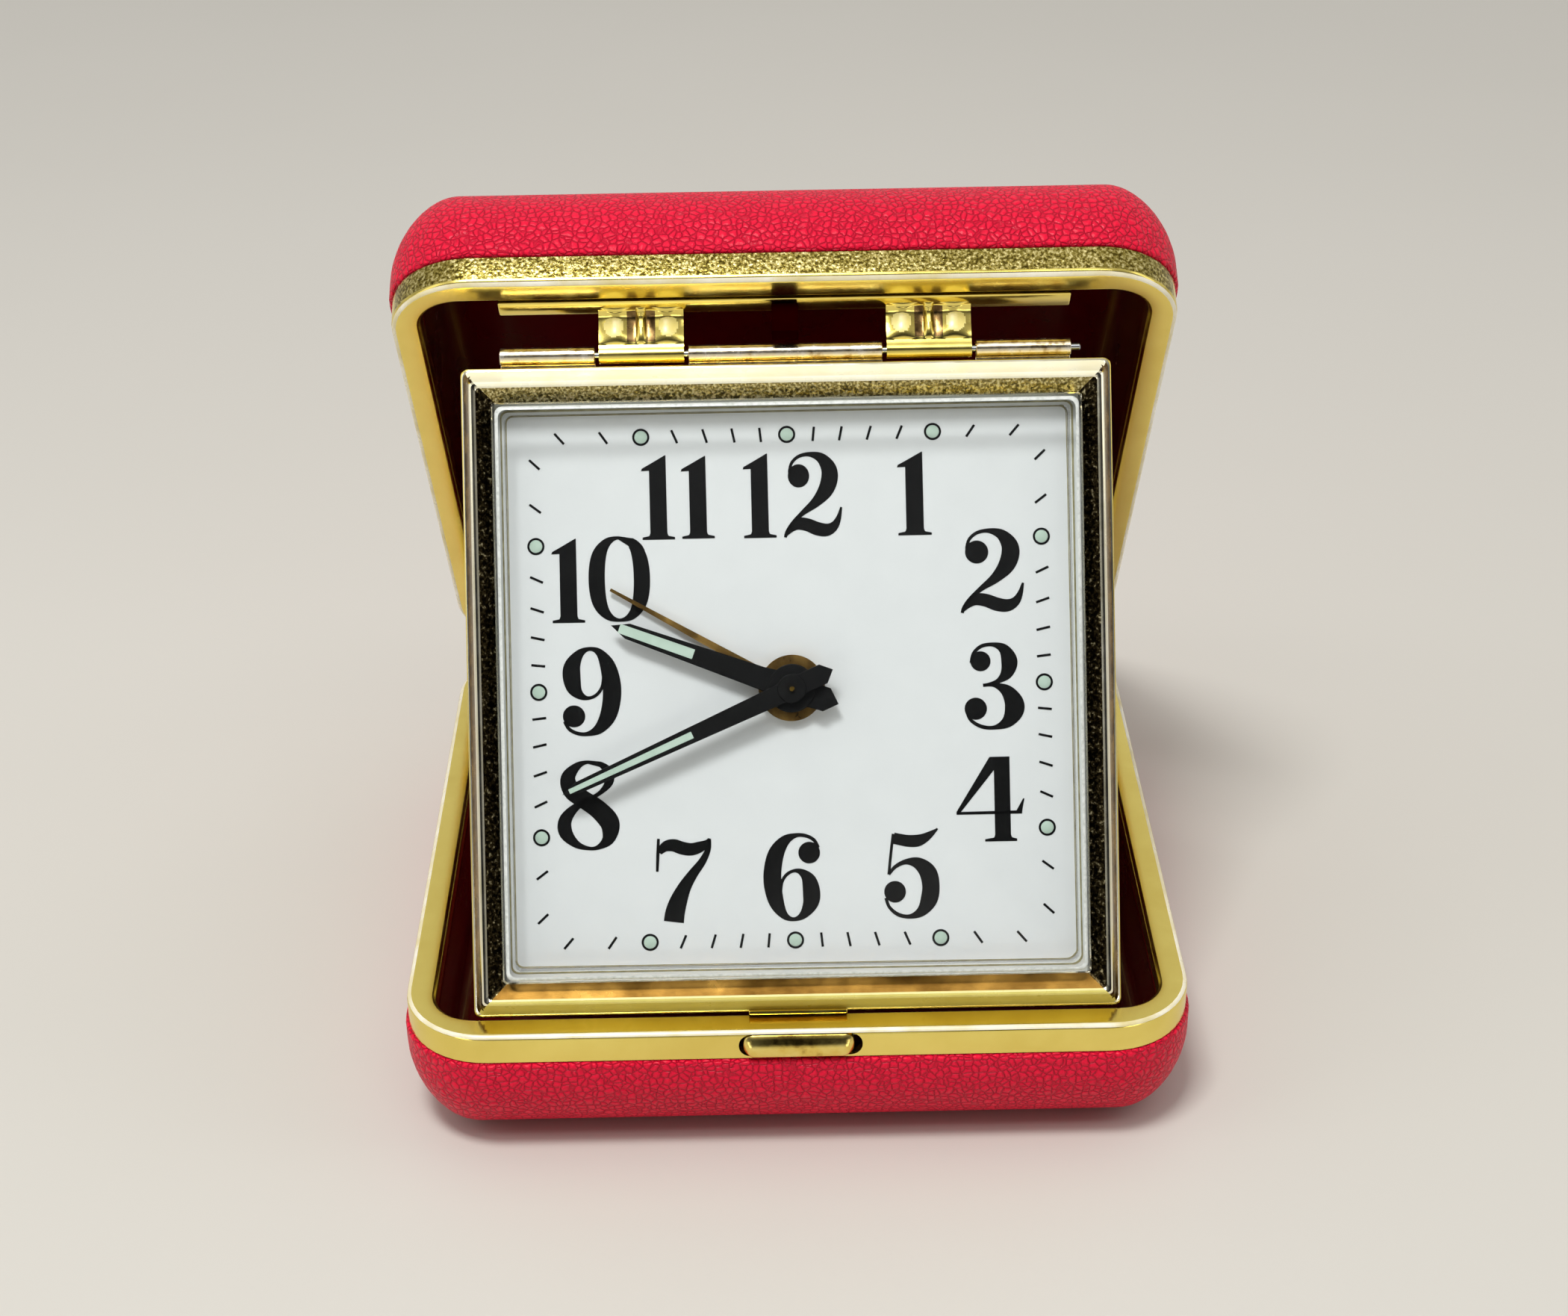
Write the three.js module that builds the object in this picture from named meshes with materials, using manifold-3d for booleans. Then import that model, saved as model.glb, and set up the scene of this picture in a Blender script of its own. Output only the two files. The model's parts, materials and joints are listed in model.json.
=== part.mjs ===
// A folding travel alarm clock, standing open: two leather covered case halves, a square
// wind-up alarm clock that hangs from the lid on its own hinge, and the movement inside it.
// Millimetres, +Z up, X to the right, -Y towards the reader of the dial.
// The origin is the middle of the flat underside of the base.
import * as THREE from 'three';
import { mergeVertices } from 'three/addons/utils/BufferGeometryUtils.js';
import Module from 'manifold-3d';

const wasm = await Module();
wasm.setup();

const DEG = Math.PI / 180;

// Clearances
const GAP = 0.3;
const PIVOT_GAP = 0.25;

// Case halves: both have the same outline, rim and depth
const CASE_W = 73;
const CASE_D = 70.6;
const SHELL_H = 14;
const CORNER_R = 8;
const CORNER_SHRINK = 1.45;
const CORNER_MIN_R = 2.2;
const COVER_PROUD = 0.35;
const COVER_T = 1;
const COVER_EDGE_R = 9;
const TRAY_T = 0.4;
const RIM_W = 2.9;
const RIM_BAND = 2.9;
const RIM_T = 0.9;
const RIM_EDGE_R = 0.6;
const RIM_INNER_R = 0.45;
const RIM_LIP_DEPTH = 1.6;
const RIM_NOTCH_W = 9.8;
const RIM_NOTCH_REACH = 0.95;

// Case hinge
const HINGE_OUT = 1.5;
const LEAF_W = 40;
const LEAF_KNUCKLES = 5;
const LEAF_T = 0.4;
const LEAF_REACH = 1.7;
const KNUCKLE_R = 1.15;
const CASE_PIN_R = 0.5;

// Latch
const LATCH_W = 10.6;
const LATCH_TRAVEL = 0.7;
const LATCH_BULGE = 0.55;
const LATCH_BACK = 0.6;
const LATCH_TONGUE_W = 7;
const LATCH_TONGUE_DEPTH = 1.95;
const LATCH_TONGUE_T = 0.45;
const LATCH_WINDOW = 2.1;
const LATCH_BAR = 0.7;
const LATCH_SLOT_TOP = 0.3;
const LATCH_SLOT_BOTTOM = 2.65;
const LATCH_END_R = 0.9;
const LATCH_SPRING_W = 16;
const LATCH_SPRING_T = 0.15;
const LATCH_SPRING_BOW = 0.15;
const CATCH_T = 0.55;
const CATCH_W = 2.4;
const CATCH_INSET = 3.45;
const CATCH_GRIP = 0.45;

// Hanger that carries the clock on the lid
const HANGER_W = 52.4;
const HANGER_T = 0.5;
const HANGER_FLANGE = 5;
const HANGER_SHELF = 1.9;
const ARM_KNEE_INSET = 5.65;
const ARM_W = 7.8;
const ARM_X = 13.2;
const ARM_RIB_W = 1.5;
const PIN_INSET = 6.6;
const PIN_DROP = 3.5;
const PIN_R = 0.32;
const PIN_OVERHANG = 0.9;
const TUBE_R = 0.8;
const TUBE_GAP = 0.4;
const FOOT_SETBACK = 3.1;
const FOOT_DROP = 0.1282;

// Clock head, levels counted from the front of the bezel's lip, towards the viewer
const BEZEL = 59.6;
const BEZEL_CORNER_R = 0.7;
const BEZEL_LIP_T = 1;
const BEZEL_CREST = 2;
const BEZEL_OPENING = 53.7;
const SKIRT_INSET = 0.8;
const SKIRT_T = 0.5;
const CRYSTAL_RISE = 2.6;
const CRYSTAL_TOP_T = 1.2;
const CRYSTAL_WALL = 0.8;
const CRYSTAL_FLANGE_T = 0.3;
const DIAL_T = 0.4;
const CAN = 52;
const CAN_DEPTH = 13.5;
const CAN_T = 0.6;
const CAN_FLANGE_T = 0.6;
const SKIRT_OVERLAP = 0.2;
const CAN_CORNER_R = 2.5;
const CAN_EDGE_R = 0.8;
const TAB_W = 9;
const TAB_T = 0.35;

// Movement plates
const PLATE = 44;
const PLATE_T = 0.8;
const PLATE_CORNER_R = 3;
const FRONT_PLATE_DROP = 2.4;
const PLATE_SPACE = 5.4;
const PILLAR_R = 1.2;
const SCREW_R = 0.6;
const SCREW_HEAD_R = 1.4;
const SCREW_HEAD_T = 0.7;
const SCREW_SLOT_W = 0.4;

// Wheel work: teeth, and module where a pair of wheels meets
const CENTRE_TEETH = 48;
const THIRD_PINION = 6;
const CENTRE_MODULE = 0.33;
const THIRD_TEETH = 45;
const FOURTH_PINION = 6;
const THIRD_MODULE = 0.3;
const FOURTH_TEETH = 60;
const ESCAPE_PINION = 6;
const FOURTH_MODULE = 0.22;
const ESCAPE_TEETH = 15;
const ESCAPE_R = 3.6;
const BARREL_TEETH = 60;
const CENTRE_PINION = 10;
const BARREL_MODULE = 0.3;
const CANNON_TEETH = 10;
const MINUTE_TEETH = 30;
const MINUTE_PINION = 8;
const HOUR_TEETH = 32;
const MOTION_MODULE = 0.3;
const TIME_SET_TEETH = 12;
const ALARM_TEETH = 48;
const ALARM_SET_TEETH = 12;
const ALARM_MODULE = 0.35;
const ALARM_BARREL_TEETH = 48;
const STAR_PINION = 8;
const ALARM_BARREL_MODULE = 0.33;
const STAR_TEETH = 15;
const STAR_R = 3.5;
const SAW_TOOTH = 1;
const ARBOR_R = 0.4;
const WHEEL_T = 0.3;
const WINDING_R = 1.05;
const PINION_OVERLAP = 0.2;
const BARREL_RIM_T = 0.9;
const BARREL_WALL = 0.4;
const MAINSPRING_T = 0.3;
const MAINSPRING_TURNS = 5;
const RATCHET_TEETH = 12;
const RATCHET_R = 4;
const RATCHET_TOOTH = 0.5;
const RATCHET_T = 0.5;
const HOUR_WHEEL_RISE = 0.5;
const ALARM_WHEEL_DROP = 0.4;

// How far each wheel lies behind the front plate
const BALANCE_DROP = 0.4;
const FOURTH_DROP = 1.8;
const LEVER_DROP = 2.9;
const THIRD_DROP = 3.1;
const ESCAPE_DROP = 4.1;

// Directions on the movement, seen from the dial, anticlockwise from the right
const BARREL_DIRECTION = 225 * DEG;
const THIRD_DIRECTION = 80 * DEG;
const FOURTH_DIRECTION = 165 * DEG;
const ESCAPE_DIRECTION = 190 * DEG;
const LEVER_DIRECTION = 80 * DEG;
const BALANCE_DIRECTION = 170 * DEG;
const MINUTE_DIRECTION = 280 * DEG;
const ALARM_SET_DIRECTION = 30 * DEG;
const STAR_DIRECTION = 77 * DEG;
const ALARM_BARREL_X = 11.5;
const ALARM_BARREL_Y = -8.5;
const HAMMER_X = 18;
const HAMMER_Y = 5;
const STOP_X = 8.5;
const STOP_Y = 17.5;
const PILLAR_XY = 19.5;
const LAST_PILLAR_X = -8.5;
const LAST_PILLAR_Y = 20.3;
const LEVER_REACH = 4.9;
const BALANCE_REACH = 6.2;
const BALANCE_R = 5;
const BALANCE_RIM_W = 0.8;
const BALANCE_T = 0.6;
const STAFF_R = 0.35;
const JEWEL_R = 1.3;
const ROLLER_R = 1;
const LEVER_T = 0.4;
const LEVER_W = 0.7;
const PALLET_PIN_R = 0.22;
const PALLET_SPREAD = 40 * DEG;
const PALLET_OVERLAP = 1.5;
const HAIRSPRING_DROP = 0.45;
const HAIRSPRING_H = 0.25;
const HAIRSPRING_T = 0.1;
const HAIRSPRING_INNER_R = 1;
const HAIRSPRING_OUTER_R = 3;
const HAIRSPRING_TURNS = 4;
const HAMMER_REACH = 10;
const HAMMER_DIRECTION = 95 * DEG;
const HAMMER_HEAD_R = 1.6;
const HAMMER_HEAD_T = 2;
const HAMMER_BAR_W = 0.8;
const HAMMER_BAR_T = 0.5;
const VERGE_REACH = 2.6;
const VERGE_DIRECTION = 225 * DEG;

// Hands, levels again from the bezel's lip
const HOUR_HAND = { length: 17.5, root: 2.25, taper: 0.05, tailHalf: 1.12, tailStart: 3.35, tailEnd: 4.5 };
const MINUTE_HAND = { length: 23.1, root: 1.85, taper: 0.035, tailHalf: 0.94, tailStart: 3.14, tailEnd: 4.1 };
const ALARM_LENGTH = 18.9;
const HAND_T = 0.25;
const HAND_POINT = 1.6;
const BOSS_T = 0.6;
const MINUTE_BOSS_T = 0.5;
const ALARM_BOSS_R = 3;
const HOUR_BOSS_R = 2.18;
const MINUTE_BOSS_R = 1.3;
const ALARM_ROOT_W = 1;
const ALARM_TIP_W = 0.28;
const CENTRE_R = 0.45;
const TIP_R = 0.22;
const TIP_OUT = 0.4;
const CENTRE_TUBE_T = 0.25;
const HOUR_ANGLE = -290.3 * DEG;
const MINUTE_ANGLE = -246.2 * DEG;
const ALARM_ANGLE = -299.6 * DEG;

// Keys and knobs on the back
const KEY_SPAN = 12;
const KEY_DEPTH = 2.3;
const KNOB_R = 3;
const KNOB_DEPTH = 1.6;
const KNOB_RIBS = 12;
const KNOB_GROOVE = 0.25;
const KEY_HUB_R = 2.1;
const KEY_WING_R = 2.5;
const KEY_WING_T = 0.9;
const KEY_HOLE_R = 1.1;
const KEY_LEAN = 20 * DEG;
const REGULATOR_REACH = 5.5;
const REGULATOR_SWING = 20 * DEG;
const REGULATOR_TAB = 0.9;
const REGULATOR_T = 0.3;
const REGULATOR_OUT = 0.8;
const REGULATOR_R = 2.1;
const REGULATOR_HOLE_R = 1.3;
const STOP_R = 1.5;
const STOP_HEAD_T = 1.1;
const STOP_TRAVEL = 1;

// Round faces
const SIDES = 12;
const SMALL_SIDES = 8;
const BIG_SIDES = 20;
const CORNER_STEPS = 6;

// Levels inside the clock head, all worked out from the lip downwards
const CRYSTAL_FLANGE_TOP = -BEZEL_LIP_T - GAP;
const DIAL_TOP = CRYSTAL_FLANGE_TOP - CRYSTAL_FLANGE_T - GAP;
const DIAL_BACK = DIAL_TOP - DIAL_T;
const CAN_TOP = DIAL_BACK - GAP;
const SKIRT_END = CAN_TOP - CAN_FLANGE_T - SKIRT_OVERLAP;
const FRONT_PLATE_TOP = DIAL_BACK - FRONT_PLATE_DROP;
const FRONT_PLATE_BACK = FRONT_PLATE_TOP - PLATE_T;
const BACK_PLATE_TOP = FRONT_PLATE_BACK - PLATE_SPACE;
const BACK_PLATE_BACK = BACK_PLATE_TOP - PLATE_T;
const CAN_INNER_BACK = -CAN_DEPTH + CAN_T;

// Half sizes of the square frames, one inside the other
const BEZEL_HALF = BEZEL / 2;
const SKIRT_HALF = BEZEL_HALF - SKIRT_INSET;
const FLANGE_HALF = SKIRT_HALF - SKIRT_T - GAP;
const OPENING_HALF = BEZEL_OPENING / 2;
const CRYSTAL_HALF = OPENING_HALF - GAP;
const CAN_HALF = CAN / 2;

// The clock's hinge pin, from the middle of the dial
const PIN_Y = BEZEL_HALF + GAP + TUBE_R;
const PIN_W = -0.9;

// Materials
const paint = (color, roughness, metalness) =>
  new THREE.MeshStandardMaterial({ color, roughness, metalness });
const leather = paint(0xb81238, 0.55, 0);
const gold = paint(0xd9b548, 0.25, 1);
const lining = paint(0x35060b, 0.3, 0);
const steel = paint(0xb9bcc0, 0.3, 1);
const brass = paint(0xc39a45, 0.35, 1);
const acrylic = paint(0xf4f8fa, 0.05, 0);
const dialPaint = paint(0xf2f4f5, 0.45, 0);
const blackPaint = paint(0x101010, 0.5, 0);
const blued = paint(0x39475e, 0.3, 1);
const ruby = paint(0xb01848, 0.15, 0);

// Geometry helpers

// One closed body: vertices merged, empty triangles dropped, faces turned outwards
function tidy(source) {
  const bare = source.clone();
  bare.deleteAttribute('normal');
  bare.deleteAttribute('uv');
  const merged = mergeVertices(bare, 1e-4);
  const position = merged.getAttribute('position');
  const corners = merged.index.array;
  const kept = [];
  const a = new THREE.Vector3();
  const b = new THREE.Vector3();
  const c = new THREE.Vector3();
  let volume = 0;
  for (let i = 0; i < corners.length; i += 3) {
    const [p, q, r] = corners.subarray(i, i + 3);
    if (p === q || q === r || r === p) continue;
    kept.push(p, q, r);
    a.fromBufferAttribute(position, p);
    b.fromBufferAttribute(position, q);
    c.fromBufferAttribute(position, r);
    volume += a.dot(b.cross(c));
  }
  if (volume < 0) kept.reverse();
  merged.setIndex(kept);
  merged.computeVertexNormals();
  return merged;
}

function solid(geometry) {
  const vertProperties = new Float32Array(geometry.getAttribute('position').array);
  const triVerts = new Uint32Array(geometry.index.array);
  return new wasm.Manifold(new wasm.Mesh({ numProp: 3, vertProperties, triVerts }));
}

function surface(body) {
  const mesh = body.getMesh();
  const geometry = new THREE.BufferGeometry();
  geometry.setAttribute('position', new THREE.BufferAttribute(new Float32Array(mesh.vertProperties), 3));
  geometry.setIndex(new THREE.BufferAttribute(new Uint32Array(mesh.triVerts), 1));
  geometry.computeVertexNormals();
  return geometry;
}

function join(...shapes) {
  return surface(shapes.map(solid).reduce((whole, next) => whole.add(next)));
}

function cut(shape, ...tools) {
  return surface(tools.map(solid).reduce((rest, tool) => rest.subtract(tool), solid(shape)));
}

// A flat shape raised between two levels
function slab(shape, from, to, segments = SIDES / 2) {
  const options = { depth: Math.abs(to - from), bevelEnabled: false, curveSegments: segments };
  return tidy(new THREE.ExtrudeGeometry(shape, options).translate(0, 0, Math.min(from, to)));
}

// A side profile, drawn as [y, z], stretched from x0 to x1
const ACROSS = new THREE.Matrix4().makeBasis(
  new THREE.Vector3(0, 1, 0),
  new THREE.Vector3(0, 0, 1),
  new THREE.Vector3(1, 0, 0),
);
const across = (shape, x0, x1, segments) => tidy(slab(shape, x0, x1, segments).applyMatrix4(ACROSS));

function block(x0, x1, y0, y1, z0, z1) {
  const box = new THREE.BoxGeometry(Math.abs(x1 - x0), Math.abs(y1 - y0), Math.abs(z1 - z0));
  return tidy(box.translate((x0 + x1) / 2, (y0 + y1) / 2, (z0 + z1) / 2));
}

const disc = (radius, x = 0, y = 0) => new THREE.Shape().absarc(x, y, radius, 0, 2 * Math.PI, false);
const rod = (radius, from, to, [x, y] = [0, 0], sides = SIDES) =>
  slab(disc(radius, x, y), from, to, sides / 2);
const rodAcross = (radius, x0, x1, [y, z], sides = SIDES) =>
  across(disc(radius, y, z), x0, x1, sides / 2);

function sleeve(outer, inner, from, to, at = [0, 0], sides = SIDES) {
  const shape = disc(outer, ...at);
  shape.holes.push(disc(inner, ...at));
  return slab(shape, from, to, sides / 2);
}

// One ring of a rounded rectangle
function rectangleRing(halfX, halfY, radius, level, centreY = 0, steps = CORNER_STEPS) {
  const points = [];
  for (let corner = 0; corner < 4; corner += 1) {
    const signX = corner === 0 || corner === 3 ? 1 : -1;
    const signY = corner < 2 ? 1 : -1;
    for (let step = 0; step <= steps; step += 1) {
      const angle = ((corner + step / steps) * Math.PI) / 2;
      const x = signX * (halfX - radius) + radius * Math.cos(angle);
      const y = centreY + signY * (halfY - radius) + radius * Math.sin(angle);
      points.push([x, y, level]);
    }
  }
  return points;
}

// A skin through rings of equal count: capped at both ends, or closed into a hoop
function skin(rings, hoop = false) {
  const count = rings[0].length;
  const bands = hoop ? rings.length : rings.length - 1;
  const index = [];
  for (let i = 0; i < bands; i += 1) {
    const low = i * count;
    const high = ((i + 1) % rings.length) * count;
    for (let j = 0; j < count; j += 1) {
      const next = (j + 1) % count;
      index.push(low + j, low + next, high + next, low + j, high + next, high + j);
    }
  }
  const top = (rings.length - 1) * count;
  for (let j = 1; j < count - 1 && !hoop; j += 1) {
    index.push(0, j + 1, j, top, top + j, top + j + 1);
  }
  const geometry = new THREE.BufferGeometry();
  geometry.setAttribute('position', new THREE.Float32BufferAttribute(rings.flat(2), 3));
  geometry.setIndex(index);
  return tidy(geometry);
}

// Square rings for the clock head, given as [half size, level]
const squareRings = (profile, radius, steps = 2) =>
  profile.map(([half, level]) => rectangleRing(half, half, radius, level, 0, steps));

function polar(radius, angle, [x, y] = [0, 0]) {
  return [x + radius * Math.cos(angle), y + radius * Math.sin(angle)];
}

const outline = (points) => new THREE.Shape(points.map(([x, y]) => new THREE.Vector2(x, y)));

// A strip of even thickness that follows a smooth path
function ribbon(path, thickness, steps = 10) {
  const curve = new THREE.SplineCurve(path.map(([x, y]) => new THREE.Vector2(x, y)));
  const left = [];
  const right = [];
  for (let i = 0; i <= steps; i += 1) {
    const point = curve.getPoint(i / steps);
    const along = curve.getTangent(i / steps);
    const side = new THREE.Vector2(-along.y, along.x).multiplyScalar(thickness / 2);
    left.push([point.x + side.x, point.y + side.y]);
    right.unshift([point.x - side.x, point.y - side.y]);
  }
  return outline([...left, ...right]);
}

// Gear teeth: pointed on wheels, flat topped on pinions
const ADDENDUM = 0.75;
const DEDENDUM = 1.15;
const TOOTH_ROOT = 0.26;
const TOOTH_TIP = 0.07;
const PINION_LIMIT = 12;
const pitchRadius = (teeth, module) => (teeth * module) / 2;
const tipRadius = (teeth, module) => pitchRadius(teeth, module) + ADDENDUM * module;
const spacing = (teethA, teethB, module) => pitchRadius(teethA + teethB, module);

function gear(teeth, module, phase = 0, at = [0, 0]) {
  const root = pitchRadius(teeth, module) - DEDENDUM * module;
  const tip = tipRadius(teeth, module);
  const step = (2 * Math.PI) / teeth;
  const points = [];
  for (let i = 0; i < teeth; i += 1) {
    const middle = phase + i * step;
    if (teeth > PINION_LIMIT) {
      points.push(polar(tip, middle, at), polar(root, middle + step / 2, at));
      continue;
    }
    points.push(polar(root, middle - TOOTH_ROOT * step, at));
    points.push(polar(tip, middle - TOOTH_TIP * step, at), polar(tip, middle + TOOTH_TIP * step, at));
    points.push(polar(root, middle + TOOTH_ROOT * step, at));
  }
  return outline(points);
}

// Turns the second gear so that its gap faces a tooth of the first
function meshPhase(teeth, phase, direction, otherTeeth) {
  return direction + Math.PI + (Math.PI - teeth * (phase - direction)) / otherTeeth;
}

// Saw teeth, for ratchets and scape wheels
function sawWheel(teeth, tip, root, at, lean = 0.75) {
  const step = (2 * Math.PI) / teeth;
  const points = [];
  for (let i = 0; i < teeth; i += 1) {
    points.push(polar(root, i * step, at), polar(tip, (i + lean) * step, at));
  }
  return outline(points);
}

// A flat spiral spring
function spiral(inner, outer, turns, thickness, at, stepsPerTurn = 10) {
  const total = Math.round(turns * stepsPerTurn);
  const inside = [];
  const outside = [];
  for (let i = 0; i <= total; i += 1) {
    const radius = inner + ((outer - inner) * i) / total;
    const angle = (2 * Math.PI * i) / stepsPerTurn;
    inside.push(polar(radius, angle, at));
    outside.unshift(polar(radius + thickness, angle, at));
  }
  return outline([...inside, ...outside]);
}

function piece(parent, name, material, geometry) {
  const mesh = new THREE.Mesh(geometry, material);
  mesh.name = name;
  parent.add(mesh);
  return mesh;
}

// Case halves. Both are drawn about the case hinge, closed: side is 1 for the lid, which
// lies above the plane where the rims meet, and -1 for the base below it.
const fromFront = (inset) => -(HINGE_OUT + CASE_D) + inset;
const cornerRadius = (inset) => Math.max(CORNER_R - CORNER_SHRINK * inset, CORNER_MIN_R);

function shellRing(inset, depth, side) {
  const middle = fromFront(CASE_D / 2);
  const radius = cornerRadius(inset);
  return rectangleRing(CASE_W / 2 - inset, CASE_D / 2 - inset, radius, side * depth, middle);
}

// Points of the rounded edge of a shell, from its flat bottom up to where it meets an inset
function edgeArc(radius, inset, steps) {
  const centreInset = COVER_EDGE_R - COVER_PROUD;
  const centreDepth = SHELL_H - COVER_EDGE_R;
  const last = Math.acos((centreInset - inset) / radius);
  const points = [];
  for (let i = 0; i <= steps; i += 1) {
    const angle = Math.PI / 2 + ((last - Math.PI / 2) * i) / steps;
    points.push([centreInset - radius * Math.cos(angle), centreDepth + radius * Math.sin(angle)]);
  }
  return points;
}

function bowl(outside, inside, edge, side) {
  const outerTop = [outside.at(-1)[0], edge];
  const innerTop = [inside.at(-1)[0], edge];
  const profile = [...outside, outerTop, innerTop, ...inside.reverse()];
  return skin(profile.map(([inset, depth]) => shellRing(inset, depth, side)));
}

function caseCover(side) {
  const innerR = COVER_EDGE_R - COVER_T;
  const outside = edgeArc(COVER_EDGE_R, -COVER_PROUD, 6);
  const inside = edgeArc(innerR, COVER_T - COVER_PROUD, 5);
  return bowl(outside, inside, RIM_BAND + GAP, side);
}

function caseTray(side) {
  const outerR = COVER_EDGE_R - COVER_T - GAP;
  const outside = edgeArc(outerR, RIM_W - TRAY_T, 3);
  const inside = edgeArc(outerR - TRAY_T, RIM_W, 3);
  return bowl(outside, inside, RIM_LIP_DEPTH + GAP, side);
}

function caseRim(side) {
  const round = RIM_EDGE_R;
  const soft = RIM_INNER_R;
  const cornerCut = 1 - Math.SQRT1_2;
  const profile = [
    [0, RIM_BAND],
    [0, round],
    [cornerCut * round, cornerCut * round],
    [round, 0],
    [RIM_W - soft, 0],
    [RIM_W - cornerCut * soft, cornerCut * soft],
    [RIM_W, soft],
    [RIM_W, RIM_LIP_DEPTH],
    [RIM_W - RIM_T, RIM_LIP_DEPTH],
    [RIM_W - RIM_T, RIM_T],
    [RIM_T, RIM_T],
    [RIM_T, RIM_BAND],
  ];
  const rim = skin(profile.map(([inset, depth]) => shellRing(inset, depth, side)), true);
  const reach = LEAF_W / 2 + GAP;
  const leafSlot = block(
    -reach,
    reach,
    -HINGE_OUT - RIM_T - GAP,
    -HINGE_OUT + GAP,
    side * RIM_T,
    side * (RIM_T + LEAF_T + 2 * GAP),
  );
  return cut(rim, leafSlot);
}

// One leaf of the case hinge; the leaves share the knuckles, odd and even
function caseLeaf(side) {
  const top = side * (RIM_T + GAP);
  const bottom = side * (RIM_T + GAP + LEAF_T);
  const half = LEAF_W / 2;
  const pitch = LEAF_W / LEAF_KNUCKLES;
  const parts = [block(-half, half, -HINGE_OUT - LEAF_REACH, -HINGE_OUT, top, bottom)];
  const bores = [];
  for (let i = side < 0 ? 0 : 1; i < LEAF_KNUCKLES; i += 2) {
    const x0 = -half + i * pitch + GAP / 2;
    const x1 = x0 + pitch - GAP;
    parts.push(block(x0, x1, -HINGE_OUT - LEAF_T, LEAF_T / 2, top, bottom));
    parts.push(block(x0, x1, -LEAF_T / 2, LEAF_T / 2, side * (KNUCKLE_R - LEAF_T / 2), bottom));
    parts.push(rodAcross(KNUCKLE_R, x0, x1, [0, 0]));
    bores.push(rodAcross(CASE_PIN_R + PIVOT_GAP, x0 - GAP, x1 + GAP, [0, 0]));
  }
  return cut(join(...parts), ...bores);
}

// A bar with rounded ends that lies across the front, from one inset back to the other,
// given as [inset, how much it is drawn in]
function roundedBar(halfW, top, bottom, endR, profile) {
  const halfH = (bottom - top) / 2;
  const middle = -(top + bottom) / 2;
  const rings = profile.map(([inset, drawnIn]) => {
    const radius = endR - drawnIn * 0.9;
    return rectangleRing(halfW - drawnIn, halfH - drawnIn, radius, -fromFront(inset), middle, 4);
  });
  return tidy(skin(rings).rotateX(Math.PI / 2));
}

function latchSlot() {
  const back = LATCH_BACK + LATCH_TRAVEL + GAP;
  const profile = [[-RIM_W, 0], [back, 0]];
  const halfW = LATCH_W / 2 + GAP;
  return roundedBar(halfW, LATCH_SLOT_TOP, LATCH_SLOT_BOTTOM, LATCH_END_R + PIVOT_GAP, profile);
}

// Notch in the inner edge of the base's rim, behind the button, where the catch goes down
function rimNotch() {
  const half = RIM_NOTCH_W / 2;
  return block(-half, half, fromFront(RIM_W - RIM_NOTCH_REACH), fromFront(RIM_W + GAP), GAP, -SHELL_H / 2);
}

function tongueNotch() {
  const half = LATCH_TONGUE_W / 2 + GAP;
  const depth = LATCH_TONGUE_DEPTH + LATCH_TONGUE_T + GAP;
  return block(-half, half, fromFront(RIM_W - TRAY_T - GAP), fromFront(RIM_W + GAP), 0, -depth);
}

// The tongue's window lets the lid's catch down and slides back with the button
const LATCH_WINDOW_FRONT = CATCH_INSET - LATCH_TRAVEL - GAP;
const LATCH_WINDOW_BACK = LATCH_WINDOW_FRONT + LATCH_WINDOW;

function latchButton() {
  const profile = [
    [-LATCH_BULGE, 0.6 * LATCH_BULGE],
    [-0.75 * LATCH_BULGE, 0.2 * LATCH_BULGE],
    [-0.4 * LATCH_BULGE, 0],
    [LATCH_BACK, 0],
  ];
  const top = LATCH_SLOT_TOP + PIVOT_GAP;
  const bottom = LATCH_SLOT_BOTTOM - PIVOT_GAP;
  const button = roundedBar(LATCH_W / 2, top, bottom, LATCH_END_R, profile);
  const tongueTop = -LATCH_TONGUE_DEPTH;
  const tongueBottom = tongueTop - LATCH_TONGUE_T;
  const half = LATCH_TONGUE_W / 2;
  const tongueEnd = fromFront(LATCH_WINDOW_BACK + LATCH_BAR);
  const tongue = block(-half, half, fromFront(0), tongueEnd, tongueTop, tongueBottom);
  const windowHalf = CATCH_W / 2 + 2 * GAP;
  const front = fromFront(LATCH_WINDOW_FRONT);
  const back = fromFront(LATCH_WINDOW_BACK);
  const opening = block(-windowHalf, windowHalf, front, back, 0, tongueBottom - GAP);
  return cut(join(button, tongue), opening);
}

function latchSpring() {
  const half = LATCH_SPRING_W / 2;
  const rest = fromFront(RIM_W - RIM_T - PIVOT_GAP);
  const path = [[-half, rest], [0, rest - LATCH_SPRING_BOW], [half, rest]];
  const strip = ribbon(path, LATCH_SPRING_T, 8);
  return slab(strip, -RIM_T - GAP, -LATCH_TONGUE_DEPTH + PIVOT_GAP);
}

// Base
function makeBase() {
  const base = new THREE.Group();
  base.position.set(0, CASE_D / 2 + HINGE_OUT, SHELL_H);
  piece(base, 'base_cover', leather, caseCover(-1));
  piece(base, 'base_rim', gold, cut(caseRim(-1), latchSlot(), rimNotch()));
  piece(base, 'base_tray', lining, cut(caseTray(-1), tongueNotch()));
  piece(base, 'base_hinge_leaf', gold, caseLeaf(-1));
  const pinHalf = LEAF_W / 2 + GAP;
  piece(base, 'case_hinge_pin', steel, rodAcross(CASE_PIN_R, -pinHalf, pinHalf, [0, 0]));
  piece(base, 'latch_button', gold, latchButton());
  piece(base, 'latch_spring', steel, latchSpring());
  return base;
}

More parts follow.
